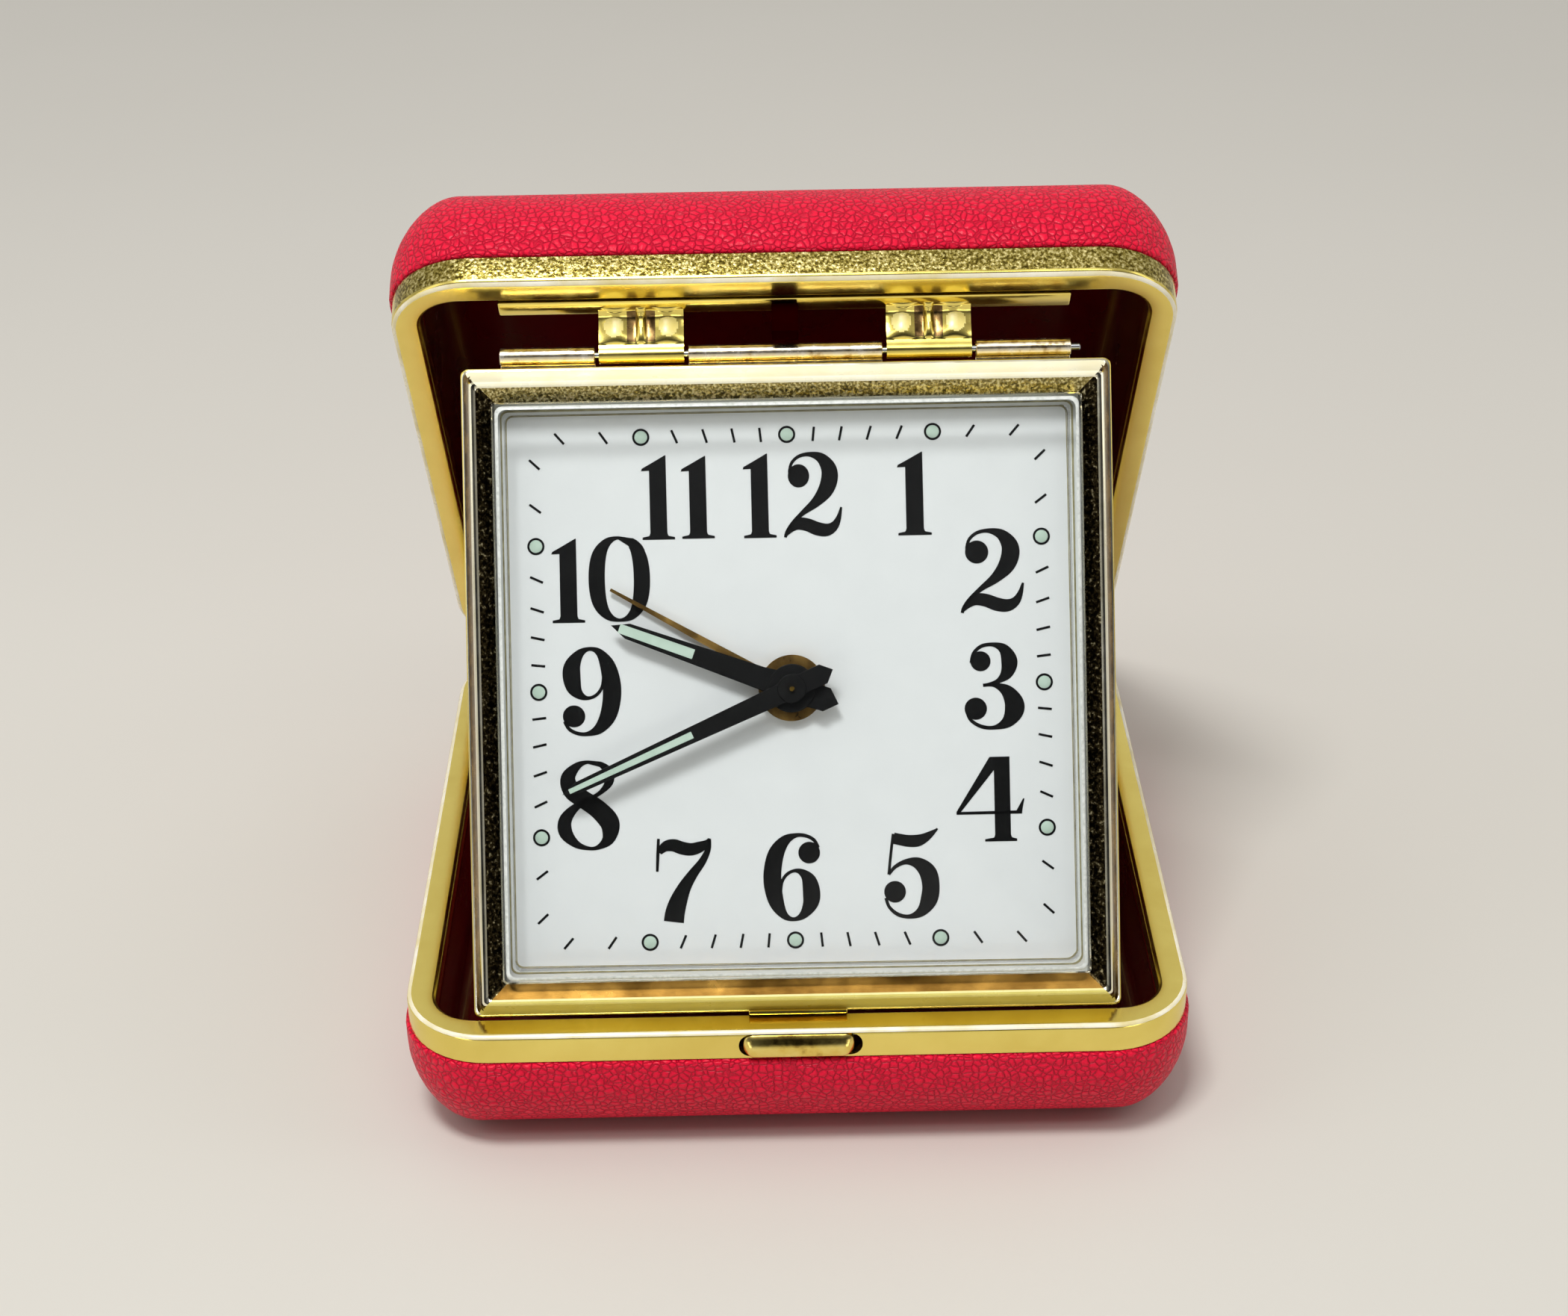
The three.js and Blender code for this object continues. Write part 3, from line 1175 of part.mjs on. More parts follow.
// The clock's head with its case, its hands and its movement, drawn about the dial's centre
function makeFace() {
  const face = new THREE.Group();
  piece(face, 'bezel', gold, bezel());
  piece(face, 'crystal', acrylic, crystal());
  const dial = rectangleShape(FLANGE_HALF, BEZEL_CORNER_R);
  dial.holes.push(disc(DIAL_HOLE));
  piece(face, 'dial', dialPaint, slab(dial, DIAL_TOP, DIAL_BACK));
  piece(face, 'back_can', gold, backCan());
  piece(face, 'clock_hinge_leaf', gold, clockLeaf());

  piece(face, 'front_plate', brass, frontPlate());
  piece(face, 'back_plate', brass, backPlate());
  PILLARS_AT.forEach((at, i) => {
    piece(face, `pillar_${i + 1}`, brass, rod(PILLAR_R, FRONT_PLATE_BACK - GAP, BACK_PLATE_TOP + GAP, at));
  });
  PILLARS_AT.slice(0, SCREWED_PILLARS).forEach((at, i) => {
    piece(face, `case_screw_${i + 1}`, steel, caseScrew(at));
  });
  piece(face, 'balance_jewel_front', ruby, jewel(FRONT_PLATE_TOP, FRONT_PLATE_BACK));
  piece(face, 'balance_jewel_back', ruby, jewel(BACK_PLATE_TOP, BACK_PLATE_BACK));

  piece(face, 'centre_wheel', brass, centreWheel());
  piece(face, 'cannon_pinion', steel, cannonPinion());
  const minuteBlade = pointedHand(MINUTE_HAND, MINUTE_ANGLE);
  piece(face, 'minute_hand', blackPaint, handOn(MINUTE_BOSS_R, MINUTE_BOSS, TIP_R + PIVOT_GAP, minuteBlade));
  const third = {
    shape: gear(THIRD_TEETH, THIRD_MODULE, THIRD_PHASE, THIRD_AT),
    level: THIRD_LEVEL,
  };
  const thirdPinion = {
    shape: gear(THIRD_PINION, CENTRE_MODULE, THIRD_PHASE, THIRD_AT),
    level: overlapLevel(CENTRE_LEVEL),
  };
  piece(face, 'third_wheel', brass, wheelArbor(THIRD_AT, third, thirdPinion));
  const fourth = {
    shape: gear(FOURTH_TEETH, FOURTH_MODULE, FOURTH_PHASE, FOURTH_AT),
    level: FOURTH_LEVEL,
  };
  const fourthPinion = {
    shape: gear(FOURTH_PINION, THIRD_MODULE, FOURTH_PHASE, FOURTH_AT),
    level: overlapLevel(THIRD_LEVEL),
  };
  piece(face, 'fourth_wheel', brass, wheelArbor(FOURTH_AT, fourth, fourthPinion));
  piece(face, 'escape_wheel', brass, escapeWheel());
  piece(face, 'pallet_lever', steel, palletLever());
  piece(face, 'balance_wheel', brass, balanceWheel());
  const coil = [HAIRSPRING_INNER_R, HAIRSPRING_OUTER_R, HAIRSPRING_TURNS, HAIRSPRING_T];
  const hairspring = spiral(...coil, BALANCE_AT);
  piece(face, 'hairspring', blued, slab(hairspring, ...HAIRSPRING_LEVEL));

  const timeDrum = [BARREL_AT, TIME_BARREL_END];
  piece(face, 'time_barrel', brass, barrel(BARREL_TEETH, BARREL_MODULE, BARREL_PHASE, ...timeDrum));
  piece(face, 'time_mainspring', blued, mainspring(BARREL_TEETH, BARREL_MODULE, ...timeDrum));
  piece(face, 'time_winding_arbor', steel, windingArbor(BARREL_AT));
  piece(face, 'time_key', gold, windingKey(BARREL_AT, KEY_LEAN));

  const minuteWheel = slab(gear(MINUTE_TEETH, MOTION_MODULE, MINUTE_PHASE, MINUTE_AT), ...MINUTE_LEVEL);
  const minutePinionShape = gear(MINUTE_PINION, MOTION_MODULE, MINUTE_PHASE, MINUTE_AT);
  const minutePinion = slab(minutePinionShape, MINUTE_LEVEL[1], HOUR_LEVEL[0]);
  piece(face, 'minute_wheel', brass, join(minuteWheel, minutePinion));
  const hourTube = rod(HOUR_TUBE[0], HOUR_BOSS[1] - GAP, HOUR_LEVEL[1]);
  const hourTeeth = slab(gear(HOUR_TEETH, MOTION_MODULE, HOUR_PHASE), ...HOUR_LEVEL);
  const hourBore = rod(HOUR_TUBE[1], HOUR_BOSS[1] + 1, HOUR_LEVEL[1] - 1);
  piece(face, 'hour_wheel', brass, cut(join(hourTube, hourTeeth), hourBore));
  const hourBlade = pointedHand(HOUR_HAND, HOUR_ANGLE);
  piece(face, 'hour_hand', blackPaint, handOn(HOUR_BOSS_R, HOUR_BOSS, CANNON[0] + PIVOT_GAP, hourBlade));
  const timeSet = gear(TIME_SET_TEETH, MOTION_MODULE, TIME_SET_PHASE, TIME_SET_AT);
  const timeSetLevel = overlapLevel(MINUTE_LEVEL);
  piece(face, 'time_set_knob', gold, setKnob(TIME_SET_AT, timeSet, timeSetLevel, MINUTE_LEVEL[0]));

  const alarmTube = rod(ALARM_TUBE[0], ALARM_BOSS[1] - GAP, ALARM_LEVEL[1]);
  const alarmTeeth = slab(gear(ALARM_TEETH, ALARM_MODULE), ...ALARM_LEVEL);
  const alarmBore = rod(ALARM_TUBE[1], ALARM_BOSS[1] + 1, ALARM_LEVEL[1] - 1);
  piece(face, 'alarm_wheel', brass, cut(join(alarmTube, alarmTeeth), alarmBore));
  piece(face, 'alarm_hand', brass, handOn(ALARM_BOSS_R, ALARM_BOSS, HOUR_TUBE[0] + PIVOT_GAP, alarmBlade()));
  const alarmSet = gear(ALARM_SET_TEETH, ALARM_MODULE, ALARM_SET_PHASE, ALARM_SET_AT);
  const alarmSetLevel = overlapLevel(ALARM_LEVEL);
  piece(face, 'alarm_set_knob', gold, setKnob(ALARM_SET_AT, alarmSet, alarmSetLevel, ALARM_LEVEL[0]));

  const alarmDrum = [ALARM_BARREL_AT, ALARM_BARREL_END];
  piece(face, 'alarm_barrel', brass, barrel(ALARM_BARREL_TEETH, ALARM_BARREL_MODULE, 0, ...alarmDrum));
  piece(face, 'alarm_mainspring', blued, mainspring(ALARM_BARREL_TEETH, ALARM_BARREL_MODULE, ...alarmDrum));
  piece(face, 'alarm_winding_arbor', steel, windingArbor(ALARM_BARREL_AT));
  piece(face, 'alarm_key', gold, windingKey(ALARM_BARREL_AT, -KEY_LEAN));
  piece(face, 'alarm_star_wheel', brass, starWheel());
  piece(face, 'alarm_hammer', steel, alarmHammer());
  piece(face, 'alarm_stop_button', gold, stopButton());
  piece(face, 'regulator_lever', steel, regulatorLever());
  return face;
}

// The clock is the lid's prop: pin, case hinge and the foot behind the base's front rim make
// a triangle, which settles how far the lid opens
const FOOT_REACH = Math.hypot(PIN_Y + BEZEL_HALF, PIN_W);

function openAngle() {
  const pinAlong = -fromFront(PIN_INSET);
  const footAlong = -fromFront(FOOT_SETBACK);
  const toPin = Math.hypot(pinAlong, PIN_DROP);
  const toFoot = Math.hypot(footAlong, FOOT_DROP);
  const between = Math.acos((toPin ** 2 + toFoot ** 2 - FOOT_REACH ** 2) / (2 * toPin * toFoot));
  return between + Math.atan2(PIN_DROP, pinAlong) - Math.atan2(FOOT_DROP, footAlong);
}

const OPEN_ANGLE = openAngle();

// How far the dial leans back, which puts the clock's bottom edge at the foot's place
function leanAngle() {
  const pinY = fromFront(PIN_INSET) * Math.cos(OPEN_ANGLE) - PIN_DROP * Math.sin(OPEN_ANGLE);
  const swing = Math.asin((pinY - fromFront(FOOT_SETBACK)) / FOOT_REACH);
  return swing - Math.atan2(-PIN_W, PIN_Y + BEZEL_HALF);
}

function makeClock() {
  const clock = new THREE.Group();
  clock.position.set(0, fromFront(PIN_INSET), -PIN_DROP);
  clock.rotation.x = Math.PI / 2 - leanAngle() + OPEN_ANGLE;
  const face = makeFace();
  face.position.set(0, -PIN_Y, -PIN_W);
  clock.add(face);
  return clock;
}

// Lid, turned back about the case hinge, with the clock hanging from it
function makeLid() {
  const lid = new THREE.Group();
  lid.position.set(0, CASE_D / 2 + HINGE_OUT, SHELL_H);
  lid.rotation.x = -OPEN_ANGLE;
  piece(lid, 'lid_cover', leather, caseCover(1));
  piece(lid, 'lid_rim', gold, caseRim(1));
  piece(lid, 'lid_tray', lining, caseTray(1));
  piece(lid, 'lid_hinge_leaf', gold, caseLeaf(1));
  piece(lid, 'clock_hanger', gold, clockHanger());
  piece(lid, 'lid_catch', steel, lidCatch());
  const pin = [fromFront(PIN_INSET), -PIN_DROP];
  const pinEnds = [-HANGER_W / 2 - GAP, HANGER_W / 2 + PIN_OVERHANG];
  piece(lid, 'clock_hinge_pin', steel, rodAcross(PIN_R, ...pinEnds, pin, SMALL_SIDES));
  lid.add(makeClock());
  return lid;
}

const travelClock = new THREE.Group();
travelClock.add(makeBase(), makeLid());

export default travelClock;
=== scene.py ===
"""Looks of a folding travel alarm clock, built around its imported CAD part."""

import json
import math

import bpy
from mathutils import Matrix, Vector


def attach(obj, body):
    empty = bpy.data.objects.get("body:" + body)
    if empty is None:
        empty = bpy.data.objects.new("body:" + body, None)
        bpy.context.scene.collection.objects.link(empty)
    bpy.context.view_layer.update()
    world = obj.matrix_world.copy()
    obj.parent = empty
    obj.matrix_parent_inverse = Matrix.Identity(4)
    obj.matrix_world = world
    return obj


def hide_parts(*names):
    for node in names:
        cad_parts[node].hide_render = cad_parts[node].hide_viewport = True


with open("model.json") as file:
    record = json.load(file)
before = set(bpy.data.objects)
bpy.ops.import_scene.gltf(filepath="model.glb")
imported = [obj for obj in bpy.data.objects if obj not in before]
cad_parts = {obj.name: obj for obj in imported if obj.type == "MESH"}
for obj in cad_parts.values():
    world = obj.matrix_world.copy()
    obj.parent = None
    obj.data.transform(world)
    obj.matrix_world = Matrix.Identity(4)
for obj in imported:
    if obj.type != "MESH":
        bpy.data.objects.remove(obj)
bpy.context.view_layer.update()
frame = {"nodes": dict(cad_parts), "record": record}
NODES = frame["nodes"]

MM = 0.001
DEG = math.pi / 180

# The case, in millimetres: both halves have the same outline, rim and depth
CASE_W = 73
CASE_D = 70.6
SHELL_H = 14
HINGE_OUT = 1.5
CORNER_R = 8
CORNER_SHRINK = 1.45
CORNER_MIN_R = 2.2
COVER_PROUD = 0.35
COVER_EDGE_R = 9
COVER_T = 1
TRAY_T = 0.4
RIM_W = 2.9
RIM_BAND = 2.9
RIM_T = 0.9
RIM_EDGE_R = 0.6
RIM_INNER_R = 0.45
RIM_LIP_DEPTH = 1.6
GAP = 0.3
LID_OPEN = 56.5 * DEG

# Latch: levels below the top of the base, and the slot that the button stands in
LATCH_W = 10.2
LATCH_TOP = 0.42
LATCH_BOTTOM = 2.62
LATCH_END_R = 0.95
TONGUE_HALF = 3.5
TONGUE_TOP = -1.95
TONGUE_BOTTOM = -2.4
SLOT_W = 11.32
SLOT_TOP = 0.3
SLOT_BOTTOM = 2.72
SLOT_END_R = 1.15
SLOT_SHIFT = 0.18

# Case hinge: two leaves with five knuckles between them
LEAF_HALF = 20
KNUCKLES = 5
KNUCKLE_W = 2 * LEAF_HALF / KNUCKLES
KNUCKLE_R = 1.15
KNUCKLE_BORE = 0.75
CASE_PIN_R = 0.5

# The clock head: a square bezel, levels counted from the front of its lip
BEZEL_HALF = 29.8
OPENING_HALF = 26.85
OPENING_DRAWN = 0.4
SKIRT_TOP = -1
SKIRT_HALF = 29
SKIRT_T = 0.5
SKIRT_END = -3.4
SEAT_HALF = SKIRT_HALF - SKIRT_T - GAP
CRYSTAL_HALF = 26.55
DIAL_TOP = -1.9
PRINT_TOP = DIAL_TOP + 0.03
PRINT_BACK = DIAL_TOP - 0.05
LEAN = 61.311 * DEG
FACE_AT = (0, -17.894, 40.0133)

# Hanger and pin that carry the clock on the lid
HANGER_W = 52.4
ARM_X = 13.2
ARM_W = 7.8
PIN_INSET = 6.6
PIN_DROP = 3.5
PIN_R = 0.32
PIN_OVERHANG = 0.9
TUBE_R = 0.8

# Frames in which the pieces are drawn
TO_METRES = Matrix.Scale(MM, 4)
BASE_FRAME = Matrix.Translation((0, CASE_D / 2 + HINGE_OUT, SHELL_H))
LID_FRAME = BASE_FRAME @ Matrix.Rotation(-LID_OPEN, 4, "X")
FACE_FRAME = Matrix.Translation(FACE_AT) @ Matrix.Rotation(LEAN, 4, "X")


# Meshes
def signed_volume(points, faces):
    total = 0.0
    for face in faces:
        a = Vector(points[face[0]])
        for i in range(1, len(face) - 1):
            total += a.dot(Vector(points[face[i]]).cross(Vector(points[face[i + 1]])))
    return total


def new_object(name, data):
    obj = bpy.data.objects.new(name, data)
    bpy.context.scene.collection.objects.link(obj)
    return obj


def piece(name, shells, place, body, materials, smooth_angle=35):
    """An object made of closed shells, each points, faces and a material number per face."""
    all_points = []
    all_faces = []
    numbers = []
    to_world = TO_METRES @ place
    for points, faces, marks in shells:
        start = len(all_points)
        inside_out = signed_volume(points, faces) < 0
        all_points += [to_world @ Vector(p) for p in points]
        for face in faces:
            order = reversed(face) if inside_out else face
            all_faces.append([start + i for i in order])
        numbers += marks
    mesh = bpy.data.meshes.new(name)
    mesh.from_pydata(all_points, [], all_faces)
    for material in materials:
        mesh.materials.append(material)
    mesh.polygons.foreach_set("material_index", numbers)
    mesh.polygons.foreach_set("use_smooth", [True] * len(numbers))
    mesh.update()
    mesh.set_sharp_from_angle(angle=smooth_angle * DEG)
    obj = new_object(name, mesh)
    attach(obj, body)
    return obj


def skin(rings, closed=False, marks=None):
    """A shell over rings of equal length. An open one gets a flat end at each side."""
    count = len(rings[0])
    points = [p for ring in rings for p in ring]
    faces = []
    numbers = []
    spans = len(rings) if closed else len(rings) - 1
    for i in range(spans):
        a = i * count
        b = ((i + 1) % len(rings)) * count
        for j in range(count):
            k = (j + 1) % count
            faces.append((a + j, a + k, b + k, b + j))
            numbers.append(marks[i] if marks else 0)
    if not closed:
        last = (len(rings) - 1) * count
        faces.append(tuple(reversed(range(count))))
        faces.append(tuple(range(last, last + count)))
        numbers += [0, 0]
    return points, faces, numbers


def block(x0, x1, y0, y1, z0, z1):
    return extrude([(x0, y0), (x1, y0), (x1, y1), (x0, y1)], z0, z1)


def rounded_block(x0, x1, y0, y1, z0, z1, edge=0.08):
    """A block with small chamfers all round."""
    rings = []
    for z, inset in ((z0, edge), (z0 + edge, 0), (z1 - edge, 0), (z1, edge)):
        a, b, c, d = x0 + inset, x1 - inset, y0 + inset, y1 - inset
        rings.append([
            (a + edge, c, z), (b - edge, c, z), (b, c + edge, z), (b, d - edge, z),
            (b - edge, d, z), (a + edge, d, z), (a, d - edge, z), (a, c + edge, z),
        ])
    return skin(rings)


def circle(centre, radius, sides):
    turns = [2 * math.pi * i / sides for i in range(sides)]
    return [(centre[0] + radius * math.cos(turn), centre[1] + radius * math.sin(turn)) for turn in turns]


def turned_across(profile, centre, sides, closed=False):
    """A turned shape about an axis along X through centre, from (x, radius) pairs."""
    return skin([[(x, *spot) for spot in circle(centre, radius, sides)] for x, radius in profile], closed)


def rod_across(radius, x0, x1, centre, sides):
    """A round bar along X with softened ends."""
    edge = 0.08
    profile = [(x0, radius - edge), (x0 + edge, radius), (x1 - edge, radius), (x1, radius - edge)]
    return turned_across(profile, centre, sides)


def tube_across(radius, bore, x0, x1, centre):
    """A tube along X with softened ends."""
    edge = 0.06
    profile = [(x0, bore), (x0, radius - edge), (x0 + edge, radius)]
    profile += [(x1 - edge, radius), (x1, radius - edge), (x1, bore)]
    return turned_across(profile, centre, 40, closed=True)


def lathe(profile, centre, sides, closed=False):
    """A turned shape about an axis along Z through centre, from (radius, level) pairs."""
    rings = [[(*spot, level) for spot in circle(centre, radius, sides)] for radius, level in profile]
    return skin(rings, closed)


def rectangle_ring(half_w, half_d, radius, z, middle=0.0, steps=12):
    """A rounded rectangle seen from above, anticlockwise."""
    ring = []
    for quarter, (sign_x, sign_y) in enumerate(((1, 1), (-1, 1), (-1, -1), (1, -1))):
        for i in range(steps + 1):
            angle = (quarter + i / steps) * math.pi / 2
            x = sign_x * (half_w - radius) + radius * math.cos(angle)
            y = sign_y * (half_d - radius) + radius * math.sin(angle)
            ring.append((x, middle + y, z))
    return ring


def extrude(outline, low, high):
    """A plate from an outline of (x, y) points."""
    return skin([[(x, y, z) for x, y in outline] for z in (low, high)])


def cut(obj, shell, place):
    """Takes a closed shell away from an object."""
    points, faces, _ = shell
    if signed_volume(points, faces) < 0:
        faces = [tuple(reversed(face)) for face in faces]
    mesh = bpy.data.meshes.new("cutter")
    mesh.from_pydata([TO_METRES @ place @ Vector(p) for p in points], [], faces)
    cutter = new_object("cutter", mesh)
    modifier = obj.modifiers.new("cut", "BOOLEAN")
    modifier.operation = "DIFFERENCE"
    modifier.solver = "EXACT"
    modifier.object = cutter
    bpy.context.view_layer.update()
    graph = bpy.context.evaluated_depsgraph_get()
    result = bpy.data.meshes.new_from_object(obj.evaluated_get(graph))
    obj.modifiers.remove(modifier)
    obj.data = result
    bpy.data.objects.remove(cutter)


def from_front(inset):
    """The place along Y of a point so far behind the case's front."""
    return -(HINGE_OUT + CASE_D) + inset


def shell_ring(inset, depth, side):
    """The case's outline, drawn in by inset and a depth away from where the halves meet."""
    radius = max(CORNER_R - CORNER_SHRINK * inset, CORNER_MIN_R)
    middle = from_front(CASE_D / 2)
    return rectangle_ring(CASE_W / 2 - inset, CASE_D / 2 - inset, radius, side * depth, middle)


def opening_ring(size, radius, level):
    """A ring of the clock head that is drawn in at its upper and lower side."""
    return rectangle_ring(size, size - OPENING_DRAWN, radius, level, 0, 4)


def arc(centre, radius, start, end, steps):
    """Points on a circle, angles in degrees."""
    points = []
    for i in range(steps + 1):
        angle = (start + (end - start) * i / steps) * DEG
        points.append((centre[0] + radius * math.cos(angle), centre[1] + radius * math.sin(angle)))
    return points


def smooth_path(points, steps):
    """A curve through the points, straight at its ends."""
    ends = [points[0]] + points + [points[-1]]
    out = []
    for i in range(1, len(ends) - 2):
        a, b, c, d = (Vector(p) for p in ends[i - 1:i + 3])
        for j in range(steps):
            t = j / steps
            square = (2 * a - 5 * b + 4 * c - d) * t**2
            cube = (3 * b - a - 3 * c + d) * t**3
            out.append(tuple(0.5 * (2 * b + (c - a) * t + square + cube)))
    out.append(tuple(points[-1]))
    return out


# Materials
def new_material(name):
    material = bpy.data.materials.new(name)
    material.use_nodes = True
    tree = material.node_tree
    shader = tree.nodes["Principled BSDF"]
    place = tree.nodes.new("ShaderNodeTexCoord")
    return material, tree, shader, place.outputs["Object"]


def add_node(tree, kind, **values):
    """A node with values on its inputs; an underscore stands for a space in a name."""
    node = tree.nodes.new(kind)
    for name, value in values.items():
        node.inputs[name.replace("_", " ")].default_value = value
    return node


def noise(tree, place, scale, detail, roughness=0.5):
    node = add_node(tree, "ShaderNodeTexNoise", Scale=scale, Detail=detail, Roughness=roughness)
    tree.links.new(place, node.inputs["Vector"])
    return node.outputs["Fac"]


def ramp(tree, value, stops):
    """Colours along a value, each as (position, colour)."""
    node = tree.nodes.new("ShaderNodeValToRGB")
    elements = node.color_ramp.elements
    while len(elements) < len(stops):
        elements.new(0.5)
    for element, (position, colour) in zip(elements, stops):
        element.position = position
        element.color = (*colour, 1)
    tree.links.new(value, node.inputs["Fac"])
    return node.outputs["Color"]


def grey_ramp(tree, value, stops):
    return ramp(tree, value, [(position, (grey, grey, grey)) for position, grey in stops])


def bump(tree, shader, height, distance, below=None):
    """Relief of so many metres on a shader, over the relief below if there is one."""
    node = add_node(tree, "ShaderNodeBump", Distance=distance, Strength=1)
    tree.links.new(height, node.inputs["Height"])
    if below is not None:
        tree.links.new(below, node.inputs["Normal"])
    tree.links.new(node.outputs["Normal"], shader.inputs["Normal"])
    return node.outputs["Normal"]


def metal(name, colours, scale, smooth, rough, grain=900, grain_height=0.004):
    """Metal whose colour and polish vary; colours as stops along a cloudy noise."""
    material, tree, shader, place = new_material(name)
    shader.inputs["Metallic"].default_value = 1
    cloud = noise(tree, place, scale, 5, 0.6)
    tree.links.new(ramp(tree, cloud, colours), shader.inputs["Base Color"])
    tree.links.new(grey_ramp(tree, cloud, [(0.3, smooth), (0.7, rough)]), shader.inputs["Roughness"])
    bump(tree, shader, noise(tree, place, grain, 2), grain_height * MM)
    return material


def leather_material():
    """Red leatherette: rounded pebbles, with painted shade that darkens the grooves between them."""
    material, tree, shader, place = new_material("red_leatherette")
    link = tree.links.new
    warp_reach = 0.5 * MM
    shader.inputs["Specular IOR Level"].default_value = 0.2
    warp = add_node(tree, "ShaderNodeTexNoise", Scale=900, Detail=2)
    link(place, warp.inputs["Vector"])
    shift = tree.nodes.new("ShaderNodeVectorMath")
    shift.operation = "MULTIPLY_ADD"
    shift.inputs[1].default_value = (warp_reach, warp_reach, warp_reach)
    link(warp.outputs["Color"], shift.inputs[0])
    link(place, shift.inputs[2])
    cells = add_node(tree, "ShaderNodeTexVoronoi", Scale=1480, Randomness=0.9)
    cells.feature = "DISTANCE_TO_EDGE"
    link(shift.outputs["Vector"], cells.inputs["Vector"])
    pebble = grey_ramp(tree, cells.outputs["Distance"], [(0.0, 0.0), (0.12, 0.6), (0.4, 1.0)])
    # the darker red towards each groove is painted shade
    groove = ramp(tree, cells.outputs["Distance"], [
        (0.0, (0.56, 0.003, 0.028)), (0.1, (0.74, 0.003, 0.037)), (0.3, (0.85, 0.004, 0.042)),
    ])
    tint = tree.nodes.new("ShaderNodeMix")
    tint.data_type = "RGBA"
    tint.blend_type = "MULTIPLY"
    tint.inputs["Factor"].default_value = 1
    link(groove, tint.inputs["A"])
    cloud = noise(tree, place, 60, 4)
    link(ramp(tree, cloud, [(0.3, (0.93, 0.8, 0.88)), (0.7, (1, 1, 1))]), tint.inputs["B"])
    link(tint.outputs["Result"], shader.inputs["Base Color"])
    link(grey_ramp(tree, cloud, [(0.3, 0.34), (0.7, 0.44)]), shader.inputs["Roughness"])
    fine = bump(tree, shader, noise(tree, place, 5200, 3), 0.02 * MM)
    bump(tree, shader, pebble, 0.17 * MM, fine)
    return material


def painted(
    name, light, dark, smooth, rough, scale=300, coat=0.0, grain=1500, grain_height=0.002, shine=0.5,
):
    """Painted or moulded surface with a slight cloud in colour and gloss."""
    material, tree, shader, place = new_material(name)
    shader.inputs["Coat Weight"].default_value = coat
    shader.inputs["Specular IOR Level"].default_value = shine
    cloud = noise(tree, place, scale, 4)
    tree.links.new(ramp(tree, cloud, [(0.3, dark), (0.7, light)]), shader.inputs["Base Color"])
    tree.links.new(grey_ramp(tree, cloud, [(0.3, rough), (0.7, smooth)]), shader.inputs["Roughness"])
    bump(tree, shader, noise(tree, place, grain, 2), grain_height * MM)
    return material


def clear_material():
    """Clear acrylic; shadow rays and diffuse rays go straight through it."""
    material, tree, shader, place = new_material("clear_acrylic")
    shader.inputs["Base Color"].default_value = (0.97, 0.985, 0.98, 1)
    shader.inputs["Transmission Weight"].default_value = 1
    shader.inputs["IOR"].default_value = 1.45
    link = tree.links.new
    polish = grey_ramp(tree, noise(tree, place, 500, 3), [(0.4, 0.01), (0.75, 0.03)])
    link(polish, shader.inputs["Roughness"])
    bump(tree, shader, noise(tree, place, 60, 1), 0.002 * MM)
    path = tree.nodes.new("ShaderNodeLightPath")
    through = add_node(tree, "ShaderNodeBsdfTransparent", Color=(0.97, 0.98, 0.97, 1))
    mix = tree.nodes.new("ShaderNodeMixShader")
    straight = tree.nodes.new("ShaderNodeMath")
    straight.operation = "MAXIMUM"
    link(path.outputs["Is Shadow Ray"], straight.inputs[0])
    link(path.outputs["Is Diffuse Ray"], straight.inputs[1])
    link(straight.outputs["Value"], mix.inputs["Fac"])
    link(shader.outputs["BSDF"], mix.inputs[1])
    link(through.outputs["BSDF"], mix.inputs[2])
    link(mix.outputs["Shader"], tree.nodes["Material Output"].inputs["Surface"])
    return material


LEATHER = leather_material()
GOLD = metal("satin_gilt", [(0.3, (0.82, 0.64, 0.15)), (0.65, (0.92, 0.75, 0.20))], 160, 0.14, 0.26)
GOLD_AGED = metal(
    "aged_gilt", [(0.33, (0.30, 0.17, 0.03)), (0.45, (0.80, 0.58, 0.13)), (0.7, (0.93, 0.77, 0.26))],
    420, 0.12, 0.26, 1300, 0.012,
)
# bright gilt: a painted highlight on the bezel's crests and edges, and the caps' own gilt
GOLD_BRIGHT = metal("bright_gilt", [(0.3, (0.93, 0.86, 0.60)), (0.7, (0.98, 0.94, 0.78))], 300, 0.1, 0.2)
GOLD_ROSE = metal(
    "rose_gilt", [(0.34, (0.60, 0.42, 0.20)), (0.44, (0.92, 0.78, 0.52)), (0.7, (0.98, 0.90, 0.76))],
    900, 0.16, 0.3, 1500, 0.012,
)
# flat yellow paint: a painted reflection on the bezel's lower outer slope
GOLD_FLAT_REFLECTION = painted("flat_reflection_gilt", (0.80, 0.70, 0.20), (0.70, 0.60, 0.14), 0.25, 0.35, 400, shine=0.9)
# pale paint: a painted highlight on the bezel's upper outer slope
GOLD_PALE_HIGHLIGHT = painted("pale_highlight_gilt", (1.0, 0.96, 0.74), (0.96, 0.89, 0.60), 0.25, 0.35, 400, shine=1.0)
# pale gilt along the rims' rounded outer edges: a painted highlight
GOLD_EDGE_HIGHLIGHT = painted("edge_highlight_gilt", (0.98, 0.94, 0.80), (0.74, 0.62, 0.26), 0.22, 0.35, 260, shine=1.0)
